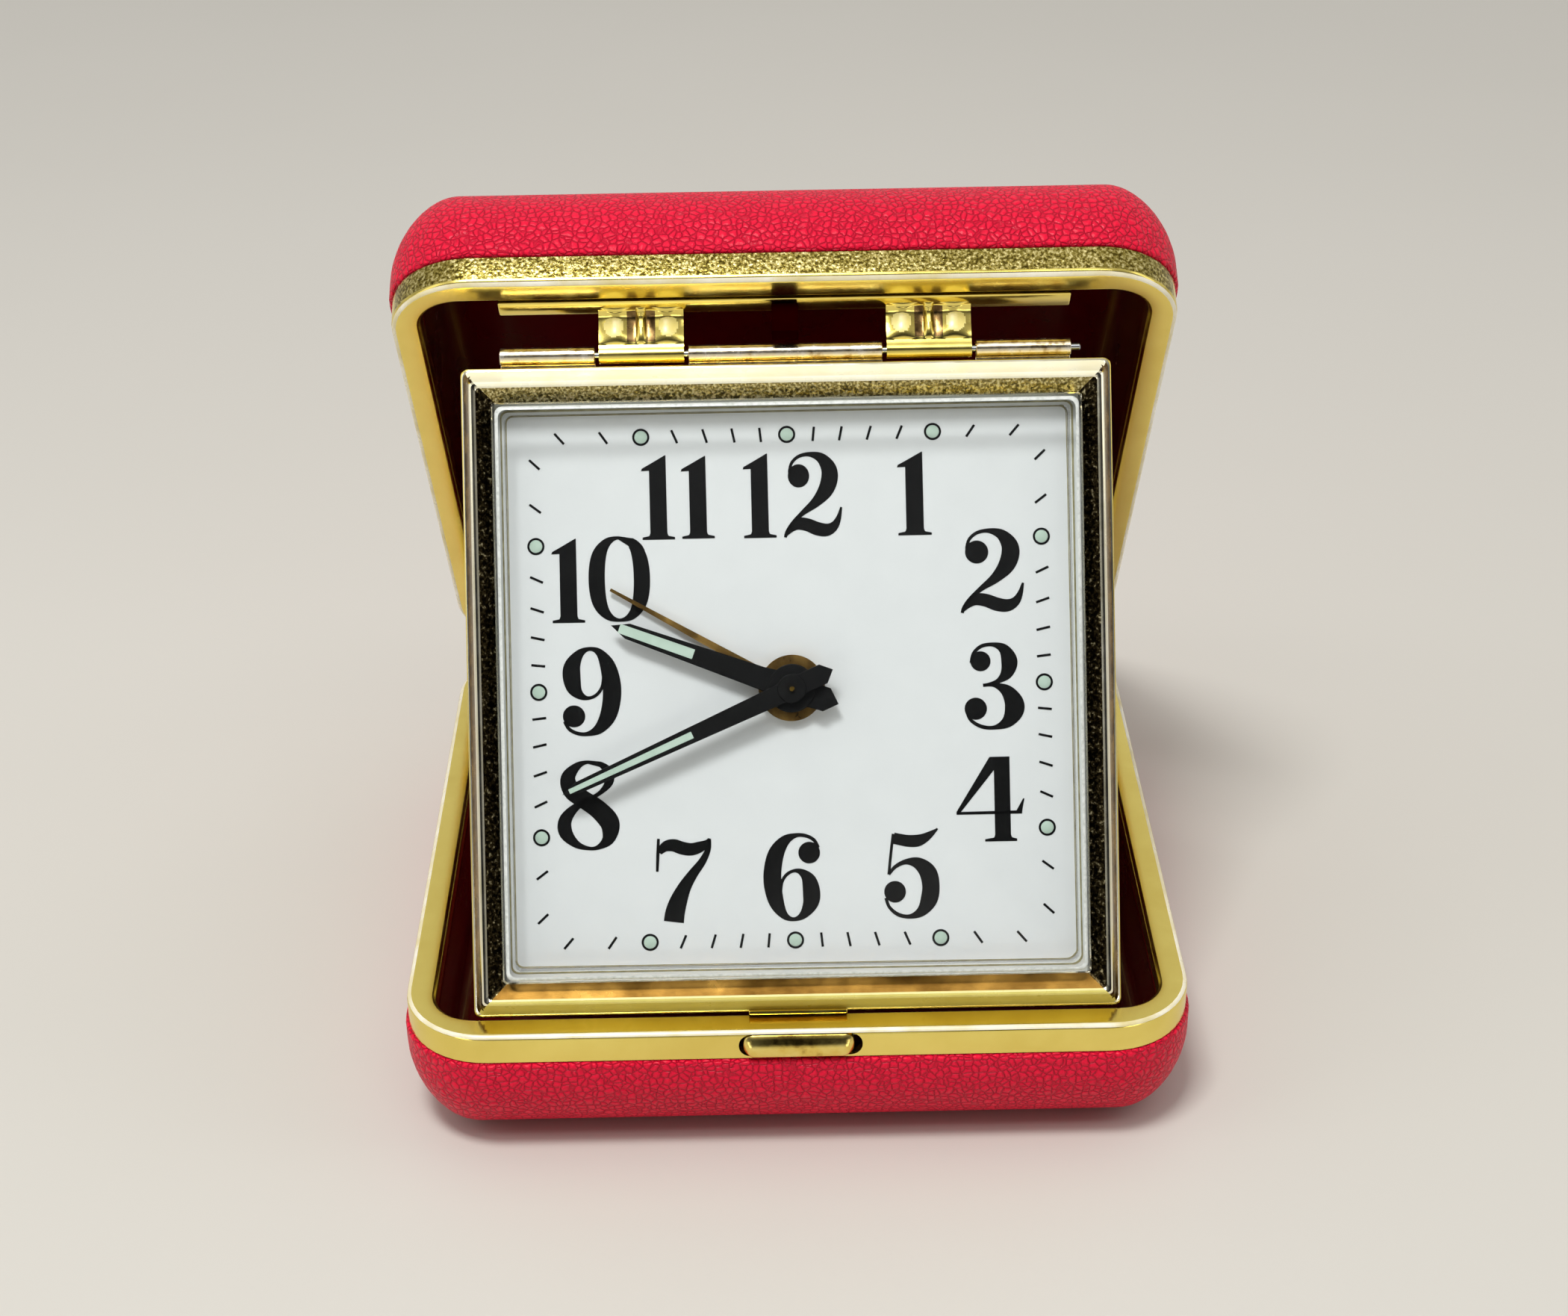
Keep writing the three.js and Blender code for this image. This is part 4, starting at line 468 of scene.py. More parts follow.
# brown gilt: tarnish with a painted dark reflection on the bezel's outer slopes and lower lip, and painted
# shade beside the hanger arms' ribs
GOLD_DARK = metal(
    "brown_gilt", [(0.4, (0.10, 0.055, 0.02)), (0.62, (0.30, 0.19, 0.07))], 500, 0.16, 0.34, 1500, 0.01,
)
GOLD_GRAIN = metal(
    "grained_gilt",
    [(0.44, (0.006, 0.004, 0.002)), (0.6, (0.05, 0.036, 0.014)), (0.7, (0.60, 0.52, 0.30))],
    3000, 0.2, 0.36, 3600, 0.04,
)
# a lighter copy of the grained gilt: a painted highlight on the bezel's upper inner slope
GOLD_GRAIN_HIGHLIGHT = metal(
    "grained_gilt_highlight",
    [(0.36, (0.05, 0.038, 0.014)), (0.5, (0.34, 0.27, 0.09)), (0.64, (0.80, 0.72, 0.42))],
    3600, 0.16, 0.36, 4200, 0.05,
)
# dark speckled gilt for the front of the lid's band: a painted dark reflection
GOLD_SPECKLED = metal(
    "speckled_gilt",
    [(0.38, (0.10, 0.07, 0.01)), (0.5, (0.40, 0.31, 0.06)), (0.64, (0.90, 0.78, 0.36))],
    3400, 0.14, 0.3, 3600, 0.03,
)
# yellow paint: a painted highlight at the heart of the arms' lobes
GOLD_LOBE_HIGHLIGHT = painted("lobe_highlight_gilt", (0.97, 0.86, 0.34), (0.90, 0.74, 0.20), 0.2, 0.3, 400, shine=1.0)
# amber gilt: a painted dark reflection on the bezel's lower inner slope
GOLD_BROWN_REFLECTION = metal(
    "amber_reflection_gilt", [(0.35, (0.17, 0.08, 0.013)), (0.7, (0.34, 0.19, 0.04))], 160, 0.16, 0.3, 2400, 0.002,
)
# olive lines on the dial: a painted reflection of the bezel's inner wall
GOLD_REFLECTION_LINE = painted("border_reflection_gilt", (0.42, 0.38, 0.22), (0.22, 0.19, 0.08), 0.3, 0.4, 1200)
LINING = painted(
    "maroon_lacquer", (0.085, 0.001, 0.002), (0.055, 0.001, 0.002), 0.14, 0.3, 120, 0.2, shine=0.3,
)
# matte near-black: painted shade for the lid's catch
CATCH_SHADE = painted("catch_painted_shade", (0.012, 0, 0), (0.008, 0, 0), 0.9, 1, shine=0)
DIAL_WHITE = painted("dial_white", (0.83, 0.85, 0.87), (0.80, 0.82, 0.84), 0.4, 0.5)
BLACK = (0.006, 0.006, 0.006)
BLACK_DEEP = (0.003, 0.003, 0.003)
PRINT_BLACK = painted("dial_ink", BLACK, BLACK_DEEP, 0.45, 0.55, shine=0.08)
HAND_BLACK = painted("hand_black", BLACK, BLACK_DEEP, 0.42, 0.55, shine=0.12)
LUME = painted("lume_green", (0.56, 0.70, 0.61), (0.48, 0.62, 0.53), 0.6, 0.8, 900)
STEEL = metal("bright_steel", [(0.3, (0.42, 0.44, 0.47)), (0.7, (0.58, 0.60, 0.62))], 300, 0.18, 0.32)
BLUED = metal("blued_spring", [(0.3, (0.03, 0.05, 0.10)), (0.7, (0.06, 0.09, 0.16))], 300, 0.2, 0.35)
BRASS = metal("bright_brass", [(0.3, (0.48, 0.28, 0.05)), (0.7, (0.62, 0.39, 0.09))], 250, 0.2, 0.34)
BRASS_DARK = metal("toned_brass", [(0.3, (0.20, 0.11, 0.03)), (0.7, (0.42, 0.25, 0.07))], 500, 0.25, 0.4)
RUBY = painted("ruby", (0.5, 0.01, 0.06), (0.4, 0.008, 0.05), 0.06, 0.12, 300, 0.6)
CLEAR = clear_material()
# pale paint on the crystal's front edge: a painted highlight
CRYSTAL_EDGE_HIGHLIGHT = painted("crystal_edge_highlight", (0.80, 0.83, 0.80), (0.55, 0.58, 0.54), 0.2, 0.5, 2600)

SLOT_MATERIAL = {
    "leather": LEATHER,
    "gold": GOLD,
    "lining": LINING,
    "acrylic": CLEAR,
    "dial_paint": DIAL_WHITE,
    "hand_paint": HAND_BLACK,
    "steel": STEEL,
    "blued_steel": BLUED,
    "brass": BRASS,
    "ruby": RUBY,
}
for subpart in frame["record"]["subparts"]:
    node = NODES[subpart["node"]]
    node.data.materials.clear()
    node.data.materials.append(SLOT_MATERIAL[subpart["material_slot"]])
# The lid's catch is painted near-black and matte, a painted shade that sinks it into the dark of the lid's
# lining.
NODES["lid_catch"].data.materials[0] = CATCH_SHADE


# Case halves
EDGE_INSET = COVER_EDGE_R - COVER_PROUD
EDGE_DEPTH = SHELL_H - COVER_EDGE_R


def edge_arc(radius, steps):
    """Rounded edge of a shell, from its flat bottom up to its upright side."""
    return [(EDGE_INSET - y, EDGE_DEPTH + x) for x, y in arc((0, 0), radius, 0, 90, steps)]


def cover(name, side, place, body, node):
    """Leather over one half's outside, turned in at its upper edge beside the rim."""
    turn = 0.35
    top = RIM_BAND + 0.12
    outside = edge_arc(COVER_EDGE_R, 18)
    outside += [(-COVER_PROUD + turn - x, top + turn - y) for x, y in arc((0, 0), turn, 0, 90, 4)]
    wall = COVER_T - COVER_PROUD
    inside = [(wall, top)] + list(reversed(edge_arc(COVER_EDGE_R - COVER_T, 8)))
    rings = [shell_ring(inset, depth, side) for inset, depth in outside + inside]
    obj = piece(name, [skin(rings)], place, body, [LEATHER], 60)
    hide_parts(node)


def tray(name, side, place, body, node):
    """Lining of one half's inside, up to the rim's lip."""
    outer_r = COVER_EDGE_R - COVER_T - GAP

    def part_arc(radius, inset):
        last = math.acos((EDGE_INSET - inset) / radius) / DEG
        return [(EDGE_INSET - x, EDGE_DEPTH + y) for x, y in arc((0, 0), radius, 90, last, 10)]

    top = RIM_LIP_DEPTH + GAP
    profile = part_arc(outer_r, RIM_W - TRAY_T) + [(RIM_W - TRAY_T, top), (RIM_W, top)]
    profile += list(reversed(part_arc(outer_r - TRAY_T, RIM_W)))
    rings = [shell_ring(inset, depth, side) for inset, depth in profile]
    obj = piece(name, [skin(rings)], place, body, [LINING], 50)
    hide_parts(node)
    return obj


# Material numbers on a rim: a painted highlight along its rounded outer edge, and on the lid a dark speckled
# gilt on the front of its band that is a painted reflection
RIM_PLAIN = 0
RIM_SPECKLED = 1
RIM_HIGHLIGHT = 2
SPECKLE_REACH = 5


def rim(name, side, place, body, node, band):
    """A rim's channel: its upright band, its top with a painted highlight along the rounded edge, and its
    lip.
    """
    outer = RIM_EDGE_R
    inner = RIM_INNER_R
    profile = [(0, RIM_BAND)]
    profile += [(outer + x, outer + y) for x, y in arc((0, 0), outer, 180, 270, 6)]
    profile += [(RIM_W - inner + x, inner + y) for x, y in arc((0, 0), inner, 270, 360, 5)]
    profile += [(RIM_W, RIM_LIP_DEPTH), (RIM_W - RIM_T, RIM_LIP_DEPTH), (RIM_W - RIM_T, RIM_T)]
    profile += [(RIM_T, RIM_T), (RIM_T, RIM_BAND)]
    rings = [shell_ring(inset, depth, side) for inset, depth in profile]
    # faces round the outer edge carry the painted highlight
    edge_marks = [band, RIM_PLAIN, RIM_PLAIN, RIM_HIGHLIGHT, RIM_HIGHLIGHT, RIM_HIGHLIGHT]
    marks = edge_marks + [RIM_PLAIN] * (len(profile) - len(edge_marks))
    points, faces, marks = skin(rings, True, marks)
    # only the front of the lid's band keeps the speckled gilt, a painted reflection
    for i, face in enumerate(faces):
        y = sum(points[j][1] for j in face) / len(face)
        if marks[i] == RIM_SPECKLED and y > from_front(SPECKLE_REACH):
            marks[i] = RIM_PLAIN
    obj = piece(name, [(points, faces, marks)], place, body, [GOLD, GOLD_SPECKLED, GOLD_EDGE_HIGHLIGHT])
    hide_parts(node)
    return obj


def bar_rings(width, top, bottom, end_r, profile):
    """Rings of a bar with rounded ends across the front; profile as (inset, drawn in, shift)."""
    flat = 0.02
    rings = []
    for inset, drawn, shift in profile:
        half_h = (bottom - top) / 2 - drawn
        radius = max(min(end_r, half_h) - flat, flat)
        ring = rectangle_ring(width / 2 - drawn, half_h, radius, 0, -(top + bottom) / 2 + shift, 8)
        rings.append([(x, from_front(inset), z) for x, z, _ in ring])
    return rings


def latch_openings(gold, lining):
    """The button's slot in the base's front, and the tongue's way through rim and lining."""
    slot = bar_rings(SLOT_W, SLOT_TOP, SLOT_BOTTOM, SLOT_END_R, [(-2, 0, 0), (1.6, 0, 0)])
    cut(gold, skin(slot), BASE_FRAME @ Matrix.Translation((SLOT_SHIFT, 0, 0)))
    rim_half = 4.9
    cut(gold, block(-rim_half, rim_half, from_front(1.95), from_front(3.2), -GAP, -7), BASE_FRAME)
    half = TONGUE_HALF + GAP
    cut(lining, block(-half, half, from_front(2.2), from_front(3.2), 0, TONGUE_BOTTOM - GAP), BASE_FRAME)


cover("base_leather", -1, BASE_FRAME, "base", "base_cover")
base_lining = tray("base_lining", -1, BASE_FRAME, "base", "base_tray")
base_gold = rim("base_gold_rim", -1, BASE_FRAME, "base", "base_rim", RIM_PLAIN)
latch_openings(base_gold, base_lining)
cover("lid_leather", 1, LID_FRAME, "lid", "lid_cover")
tray("lid_lining", 1, LID_FRAME, "lid", "lid_tray")
lid_gold = rim("lid_gold_rim", 1, LID_FRAME, "lid", "lid_rim", RIM_SPECKLED)
PIN_REACH = LEAF_HALF + GAP
LEAF_SLOT = (-PIN_REACH, PIN_REACH, -HINGE_OUT - RIM_T - GAP, -HINGE_OUT + GAP)
cut(base_gold, block(*LEAF_SLOT, -RIM_T, -RIM_T - 1), BASE_FRAME)
cut(lid_gold, block(*LEAF_SLOT, RIM_T, RIM_T + 1), LID_FRAME)


def latch():
    """The push button, a bar with a ridge, and the looped tongue behind it."""
    profile = [
        (0.6, 0, 0), (0.05, 0, 0), (-0.1, 0.06, -0.06), (-0.25, 0.19, -0.16), (-0.4, 0.33, -0.27),
        (-0.52, 0.46, -0.34), (-0.6, 0.635, -0.385), (-0.63, 0.8, -0.36),
    ]
    half = TONGUE_HALF
    hole_half = 1.8
    tongue_end = 5.25
    spans = [
        (-half, half, 0.2, 2.45), (-half, -hole_half, 2.4, tongue_end),
        (hole_half, half, 2.4, tongue_end), (-half, half, 4.55, tongue_end),
    ]
    shells = [skin(bar_rings(LATCH_W, LATCH_TOP, LATCH_BOTTOM, LATCH_END_R, profile))]
    for x0, x1, near, far in spans:
        shells.append(block(x0, x1, from_front(near), from_front(far), TONGUE_TOP, TONGUE_BOTTOM))
    obj = piece("latch_push_button", shells, BASE_FRAME, "latch", [GOLD_AGED])
    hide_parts("latch_button")


latch()

# Hanger: a shelf behind the lid's rim and two arms that curl round the pin
# Material numbers on an arm: plain gilt, painted shade, painted highlight
ARM_PLAIN = 0
ARM_SHADED = 1
ARM_HIGHLIGHT = 2
ARM_HALF_T = 0.2
ARM_COLUMNS = 49


def arm_shade(across, along):
    """Material number on an arm: painted shade beside the rib, a painted highlight at the heart of each
    lobe.
    """
    if 0.14 < abs(across) < 0.34 and 0.2 < along < 0.9:
        return ARM_SHADED
    heart = math.hypot((abs(across) - 0.64) / 0.27, (along - 0.6) / 0.25)
    return ARM_HIGHLIGHT if heart < 0.85 else ARM_PLAIN


def arm_front(across, fade):
    """How far an arm's front stands out: a lobe at each side and a rib between them."""
    lobe = 0.5 * math.exp(-(((abs(across) - 0.6) / 0.3) ** 2))
    rib = 0.5 * math.exp(-((across / 0.1) ** 4))
    return ARM_HALF_T + fade * (lobe + rib)


def arm(side, drop, curl):
    """A strip that hangs down along drop, where it bulges, and then follows curl."""
    path = drop + curl
    bulge_end = len(drop) - 3
    rings = []
    marks = []
    for i, (y, z) in enumerate(path):
        before = Vector(path[max(i - 1, 0)])
        after = Vector(path[min(i + 1, len(path) - 1)])
        along = (after - before).normalized()
        normal = Vector((along.y, -along.x))
        fade = math.sin(math.pi * i / bulge_end)**0.5 if i < bulge_end else 0
        front = []
        back = []
        for j in range(ARM_COLUMNS):
            across = 2 * j / (ARM_COLUMNS - 1) - 1
            x = side * ARM_X + across * ARM_W / 2
            reach = arm_front(across, fade)
            front.append((x, y + normal.x * reach, z + normal.y * reach))
            back.append((x, y - normal.x * ARM_HALF_T, z - normal.y * ARM_HALF_T))
        rings.append(front + list(reversed(back)))
        if i:
            middles = [2 * (j + 0.5) / (ARM_COLUMNS - 1) - 1 for j in range(ARM_COLUMNS - 1)]
            marks += [arm_shade(across, i / len(drop)) for across in middles]
            marks += [ARM_PLAIN] * (ARM_COLUMNS + 1)
    points, faces, _ = skin(rings)
    return points, faces, marks + [ARM_PLAIN, ARM_PLAIN]


def hanger():
    wall = RIM_W + GAP
    half = HANGER_W / 2
    shelf = rounded_block(-half, half, from_front(wall), from_front(wall + 1.9), 0, 0.5)
    flange = rounded_block(-half, half, from_front(wall), from_front(wall + 0.5), 0.1, 5)
    pin_at = (from_front(PIN_INSET), -PIN_DROP)
    drop = smooth_path([
        (from_front(4.1), 0.25), (from_front(4.65), 0.2), (from_front(5.3), -0.3), (from_front(5.62), -1.2),
        (from_front(5.78), -2.2), (pin_at[0] - 0.62, pin_at[1] + 0.5),
    ], 8)
    curl = arc(pin_at, 0.6, 170, 440, 16)
    shells = [shelf, flange, arm(-1, drop, curl), arm(1, drop, curl)]
    obj = piece("clock_hanger_gilt", shells, LID_FRAME, "lid", [GOLD, GOLD_DARK, GOLD_LOBE_HIGHLIGHT], 40)
    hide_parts("clock_hanger")
    pin = rod_across(PIN_R, -half, half + PIN_OVERHANG, pin_at, 24)
    obj = piece("hanger_pin", [pin], LID_FRAME, "lid", [STEEL])
    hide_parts("clock_hinge_pin")


hanger()


# Clock head, with the material numbers on the bezel
LIP = 0
OUTER_SLOPE = 1
CREST = 2
INNER_SLOPE = 3
INNER_SLOPE_TOP = 4
INNER_SLOPE_BOTTOM = 5
LOWER_BAND = 6
UPPER_BAND = 7
RIDGE = 8
# The bezel's gilts are partly painted light. Bright gilt on its crests and edges is a painted highlight, and
# the brown and dark grained gilts of its slopes are tarnish and grain darkened further as a painted
# reflection. Its top side takes paler copies, a painted highlight, and its bottom side browner and flatter
# ones, a painted reflection.
BEZEL_MATERIALS = [
    GOLD, GOLD_DARK, GOLD_BRIGHT, GOLD_GRAIN, GOLD_GRAIN_HIGHLIGHT, GOLD_BROWN_REFLECTION, GOLD_FLAT_REFLECTION, GOLD_PALE_HIGHLIGHT,
]
# faces on the bottom and top sides swap to their painted reflection and painted highlight copies
MARKS_BELOW = {INNER_SLOPE: INNER_SLOPE_BOTTOM, OUTER_SLOPE: LOWER_BAND, RIDGE: LOWER_BAND, LIP: OUTER_SLOPE}
MARKS_ABOVE = {INNER_SLOPE: INNER_SLOPE_TOP, OUTER_SLOPE: UPPER_BAND, RIDGE: UPPER_BAND}


def bezel():
    """The square frame and the skirt behind it; its opening is drawn in above and below."""
    half = BEZEL_HALF
    drawn_from = half - 0.28
    drawn_span = 0.58
    skirt_inside = SKIRT_HALF - SKIRT_T
    profile = [
        (half, SKIRT_TOP, LIP), (half, -0.16, LIP), (half - 0.04, -0.06, LIP), (half - 0.12, 0, CREST),
        (half - 0.28, 0.05, OUTER_SLOPE), (half - 0.5, 0.4, OUTER_SLOPE), (half - 0.72, 1.0, OUTER_SLOPE),
        (half - 0.86, 1.55, RIDGE), (half - 0.98, 1.85, RIDGE), (half - 1.15, 1.98, RIDGE),
        (half - 1.35, 1.97, RIDGE), (half - 1.52, 1.86, INNER_SLOPE), (half - 2.1, 1.45, INNER_SLOPE),
        (OPENING_HALF + 0.12, 0.98, CREST), (OPENING_HALF, 0.86, INNER_SLOPE),
        (OPENING_HALF, SKIRT_TOP, LIP), (skirt_inside, SKIRT_TOP, LIP), (skirt_inside, SKIRT_END, LIP),
        (SKIRT_HALF, SKIRT_END, LIP), (SKIRT_HALF, SKIRT_TOP, LIP),
    ]
    rings = []
    for size, level, _ in profile:
        radius = 0.7 if size > half - 0.6 else 0.35
        share = min(max((drawn_from - size) / drawn_span, 0), 1) if level > SKIRT_TOP else 0
        rings.append(rectangle_ring(size, size - OPENING_DRAWN * share, radius, level, 0, 4))
    points, faces, marks = skin(rings, closed=True, marks=[mark for _, _, mark in profile])
    # the top and bottom sides take their painted light copies; the side ridges take the bright crest gilt, a
    # painted highlight
    for i, face in enumerate(faces):
        x = sum(points[j][0] for j in face) / len(face)
        y = sum(points[j][1] for j in face) / len(face)
        if -y > abs(x):
            marks[i] = MARKS_BELOW.get(marks[i], marks[i])
        elif y > abs(x):
            marks[i] = MARKS_ABOVE.get(marks[i], marks[i])
        elif marks[i] == RIDGE:
            marks[i] = CREST
    tab = rounded_block(-4.5, 4.5, -half, -half + 0.35, -0.5, 1.2, 0.05)
    shells = [(points, faces, marks), tab]
    obj = piece("bezel_gilt", shells, FACE_FRAME, "clock", BEZEL_MATERIALS, 25)
    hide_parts("bezel")


def crystal():
    """The raised cover: clear, with a pale band round its front edge that is a painted highlight."""
    half = CRYSTAL_HALF
    front = 2.6
    edge = 0.35
    inner = half - 0.8
    profile = [(half - edge, front)]
    profile += [(half - edge + x, front - edge + y) for x, y in reversed(arc((0, 0), edge, 0, 60, 3))]
    profile += [(half, -1.3), (SEAT_HALF, -1.3), (SEAT_HALF, -1.6), (inner, -1.6), (inner, 1.4)]
    rings = [opening_ring(size, 0.7, level) for size, level in profile]
    highlighted = [1] * 4
    shell = skin(rings, marks=highlighted + [0] * (len(profile) - 1 - len(highlighted)))
    obj = piece("crystal_clear", [shell], FACE_FRAME, "clock", [CLEAR, CRYSTAL_EDGE_HIGHLIGHT], 25)
    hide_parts("crystal")


# Two thin rings on the dial by its edge: a painted reflection of the bezel's inner wall in the crystal's
# wall.
def dial_edge_reflection():
    shells = []
    for outer, inner in ((26.2, 26.06), (25.74, 25.66)):
        profile = [(outer, PRINT_BACK), (outer, PRINT_TOP), (inner, PRINT_TOP), (inner, PRINT_BACK)]
        shells.append(skin([opening_ring(size, 0.6, level) for size, level in profile], closed=True))
    piece("dial_edge_reflection", shells, FACE_FRAME, "clock", [GOLD_REFLECTION_LINE], 20)


bezel()
crystal()
dial_edge_reflection()


# Print on the dial
def stroke(points, closed=False):
    """A printed line along points given as x, y and its width there."""
    steps = 6
    if closed:
        looped = [points[-1]] + points + [points[0], points[1]]
        path = smooth_path(looped, steps)[steps:-2 * steps]
    elif len(points) > 2:
        path = smooth_path(points, steps)
    else:
        path = points
    rings = []
    count = len(path)
    for i, (x, y, width) in enumerate(path):
        if closed:
            before, after = path[i - 1], path[(i + 1) % count]
        else:
            before, after = path[max(i - 1, 0)], path[min(i + 1, count - 1)]
        along = Vector((after[0] - before[0], after[1] - before[1])).normalized()
        side = Vector((-along.y, along.x)) * width / 2
        left = (x + side.x, y + side.y)
        right = (x - side.x, y - side.y)
        rings.append([(*left, PRINT_TOP), (*right, PRINT_TOP), (*right, PRINT_BACK), (*left, PRINT_BACK)])
    return skin(rings, closed)


def disc(x, y, radius):
    return lathe([(radius, PRINT_BACK), (radius, PRINT_TOP)], (x, y), 32)


def plate(outline):
    return extrude(outline, PRINT_BACK, PRINT_TOP)


def shifted(shell, at, width, height):
    """A digit's shell stretched and moved to its place; a negative stretch is a half turn."""
    points, faces, marks = shell
    return [(at[0] + width * x, at[1] + height * y, z) for x, y, z in points], faces, marks


def one():
    stem = [
        (0.72, 3.9), (-0.79, 3.06), (-1.47, 2.70), (-1.54, 2.47), (-0.79, 2.5), (-0.79, -3.3), (-0.9, -3.55),
        (-1.54, -3.68), (-1.54, -3.9), (1.54, -3.9), (1.54, -3.68), (0.93, -3.55), (0.82, -3.3), (0.8, 3.9),
    ]
    return [plate(stem)]


def two():
    bowl = [
        (-2.3, 2.1, 0.3), (-2.05, 2.95, 0.3), (-1.35, 3.55, 0.32), (-0.3, 3.74, 0.42), (0.85, 3.4, 0.95),
        (1.6, 2.5, 1.5), (1.72, 1.55, 1.66), (1.3, 0.45, 1.5), (0.3, -0.65, 0.95), (-1.0, -1.6, 0.5),
        (-2.05, -2.5, 0.32), (-2.65, -3.3, 0.3), (-2.82, -3.85, 0.3),
    ]
    wave = [
        (-2.75, -3.62, 0.3), (-2.2, -3.0, 0.75), (-1.5, -2.62, 1.1), (-0.6, -2.72, 1.2), (0.4, -3.1, 1.25),
        (1.35, -3.22, 1.15), (2.1, -2.85, 0.85), (2.55, -2.1, 0.5), (2.82, -1.15, 0.2),
    ]
    return [stroke(bowl), stroke(wave), disc(-1.38, 1.78, 1.07)]


def three():
    upper = [
        (-2.0, 2.2, 0.3), (-1.75, 3.1, 0.32), (-1.0, 3.75, 0.34), (0.1, 3.86, 0.42), (1.05, 3.4, 1.0),
        (1.52, 2.3, 1.5), (1.25, 1.2, 1.15), (0.5, 0.5, 0.5), (-0.35, 0.18, 0.34), (-0.95, 0.1, 0.3),
    ]
    lower = [
        (-0.95, 0.1, 0.3), (0.1, 0.1, 0.4), (1.2, -0.45, 1.15), (1.86, -1.5, 1.75), (1.84, -2.4, 1.75),
        (1.2, -3.35, 1.1), (0.1, -3.83, 0.42), (-1.1, -3.75, 0.36), (-2.1, -3.15, 0.32), (-2.5, -2.3, 0.3),
    ]
    return [stroke(upper), stroke(lower), disc(-1.14, 2.34, 0.93), disc(-1.66, -2.06, 1.03)]


def four():
    slope = [(0.0, 3.9), (0.98, 3.9), (0.98, 3.4), (-2.72, -1.12), (-3.14, -1.38), (-3.14, -1.12)]
    stem = [
        (0.38, 3.9), (1.84, 3.9), (1.84, -3.3), (1.95, -3.55), (2.4, -3.68), (2.4, -3.9), (-0.55, -3.9),
        (-0.55, -3.68), (0.27, -3.55), (0.38, -3.3),
    ]
    bar = [
        (-3.14, -1.38), (2.9, -1.38), (2.94, -1.0), (3.15, 0.0), (3.02, 0.02), (2.4, -1.08), (-3.0, -1.12),
    ]
    return [plate(slope), plate(stem), plate(bar)]


def five():
    flag = [
        (-1.62, 3.3, 1.05), (-1.0, 3.16, 1.05), (-0.2, 3.02, 1.1), (0.6, 3.04, 1.1), (1.3, 3.3, 0.85),
        (1.95, 3.72, 0.5), (2.4, 4.05, 0.16),
    ]
    stem = [(-1.64, 3.7, 0.26), (-1.88, 1.9, 0.26), (-2.1, -0.05, 0.26)]
    bowl = [
        (-2.1, -0.05, 0.26), (-1.5, 0.65, 0.34), (-0.5, 1.1, 0.5), (0.6, 0.95, 1.1), (1.5, 0.1, 1.6),
        (1.76, -1.2, 1.6), (1.55, -2.45, 1.55), (0.85, -3.5, 0.95), (-0.2, -3.95, 0.42), (-1.3, -3.75, 0.36),
        (-2.1, -3.05, 0.3), (-2.4, -2.2, 0.3),
    ]
    return [stroke(flag), stroke(stem), stroke(bowl), disc(-1.55, -1.65, 1.0)]


def six():
    body = [
        (2.45, 2.7, 0.3), (2.05, 3.4, 0.32), (1.3, 3.8, 0.34), (0.4, 3.85, 0.42), (-0.6, 3.4, 0.95),
        (-1.4, 2.3, 1.45), (-1.78, 0.8, 1.62), (-1.8, -0.8, 1.62), (-1.45, -2.4, 1.35), (-0.75, -3.55, 0.7),
        (0.1, -3.88, 0.36), (0.95, -3.5, 0.75), (1.62, -2.5, 1.4), (1.76, -1.5, 1.6), (1.55, -0.35, 1.35),
        (1.0, 0.35, 0.75), (0.3, 0.6, 0.34), (-0.45, 0.3, 0.3), (-0.95, -0.4, 0.3), (-1.1, -1.3, 0.3),
    ]
    return [stroke(body), disc(1.6, 2.24, 1.0)]


def seven():
    wave = [
        (-2.2, 2.55, 0.5), (-1.65, 3.1, 0.95), (-0.9, 3.22, 1.15), (-0.1, 2.95, 1.2), (0.75, 2.82, 1.15),
        (1.6, 3.05, 1.0), (2.2, 3.4, 0.6), (2.46, 3.78, 0.26),
    ]
    tick = [(-2.26, 3.84, 0.26), (-2.34, 2.3, 0.3), (-2.42, 0.8, 0.24)]
    stem = [
        (2.46, 3.78, 0.26), (2.3, 2.8, 0.5), (1.75, 1.7, 0.7), (0.9, 0.6, 0.9), (0.1, -0.6, 1.2),
        (-0.5, -1.9, 1.6), (-0.85, -3.0, 1.8), (-0.98, -3.86, 1.85),
    ]
    return [stroke(wave), stroke(tick), stroke(stem)]


def eight():
    loops = [
        (0.0, 3.96, 0.32), (-1.0, 3.6, 0.7), (-1.85, 2.55, 1.35), (-1.55, 1.35, 1.6), (-0.35, 0.45, 1.65),
        (0.9, -0.45, 1.75), (1.9, -1.7, 1.8), (1.75, -3.1, 1.2), (0.9, -3.85, 0.5), (0.0, -4.0, 0.34),
        (-1.2, -3.6, 0.7), (-2.15, -2.55, 1.25), (-2.2, -1.4, 1.2), (-1.4, -0.35, 0.8), (-0.2, 0.4, 0.4),
        (1.1, 1.15, 0.42), (1.9, 2.1, 0.8), (1.85, 3.05, 0.85), (1.1, 3.75, 0.5),
    ]
    return [stroke(loops, closed=True)]


def nought():
    loop = [
        (0.0, 3.78, 0.3), (-1.1, 3.35, 0.8), (-1.85, 2.1, 1.35), (-2.08, 0.0, 1.5), (-1.85, -2.1, 1.35),
        (-1.1, -3.35, 0.8), (0.0, -3.78, 0.3), (1.1, -3.35, 0.8), (1.85, -2.1, 1.35), (2.08, 0.0, 1.5),
        (1.85, 2.1, 1.35), (1.1, 3.35, 0.8),
    ]
    return [stroke(loop, closed=True)]


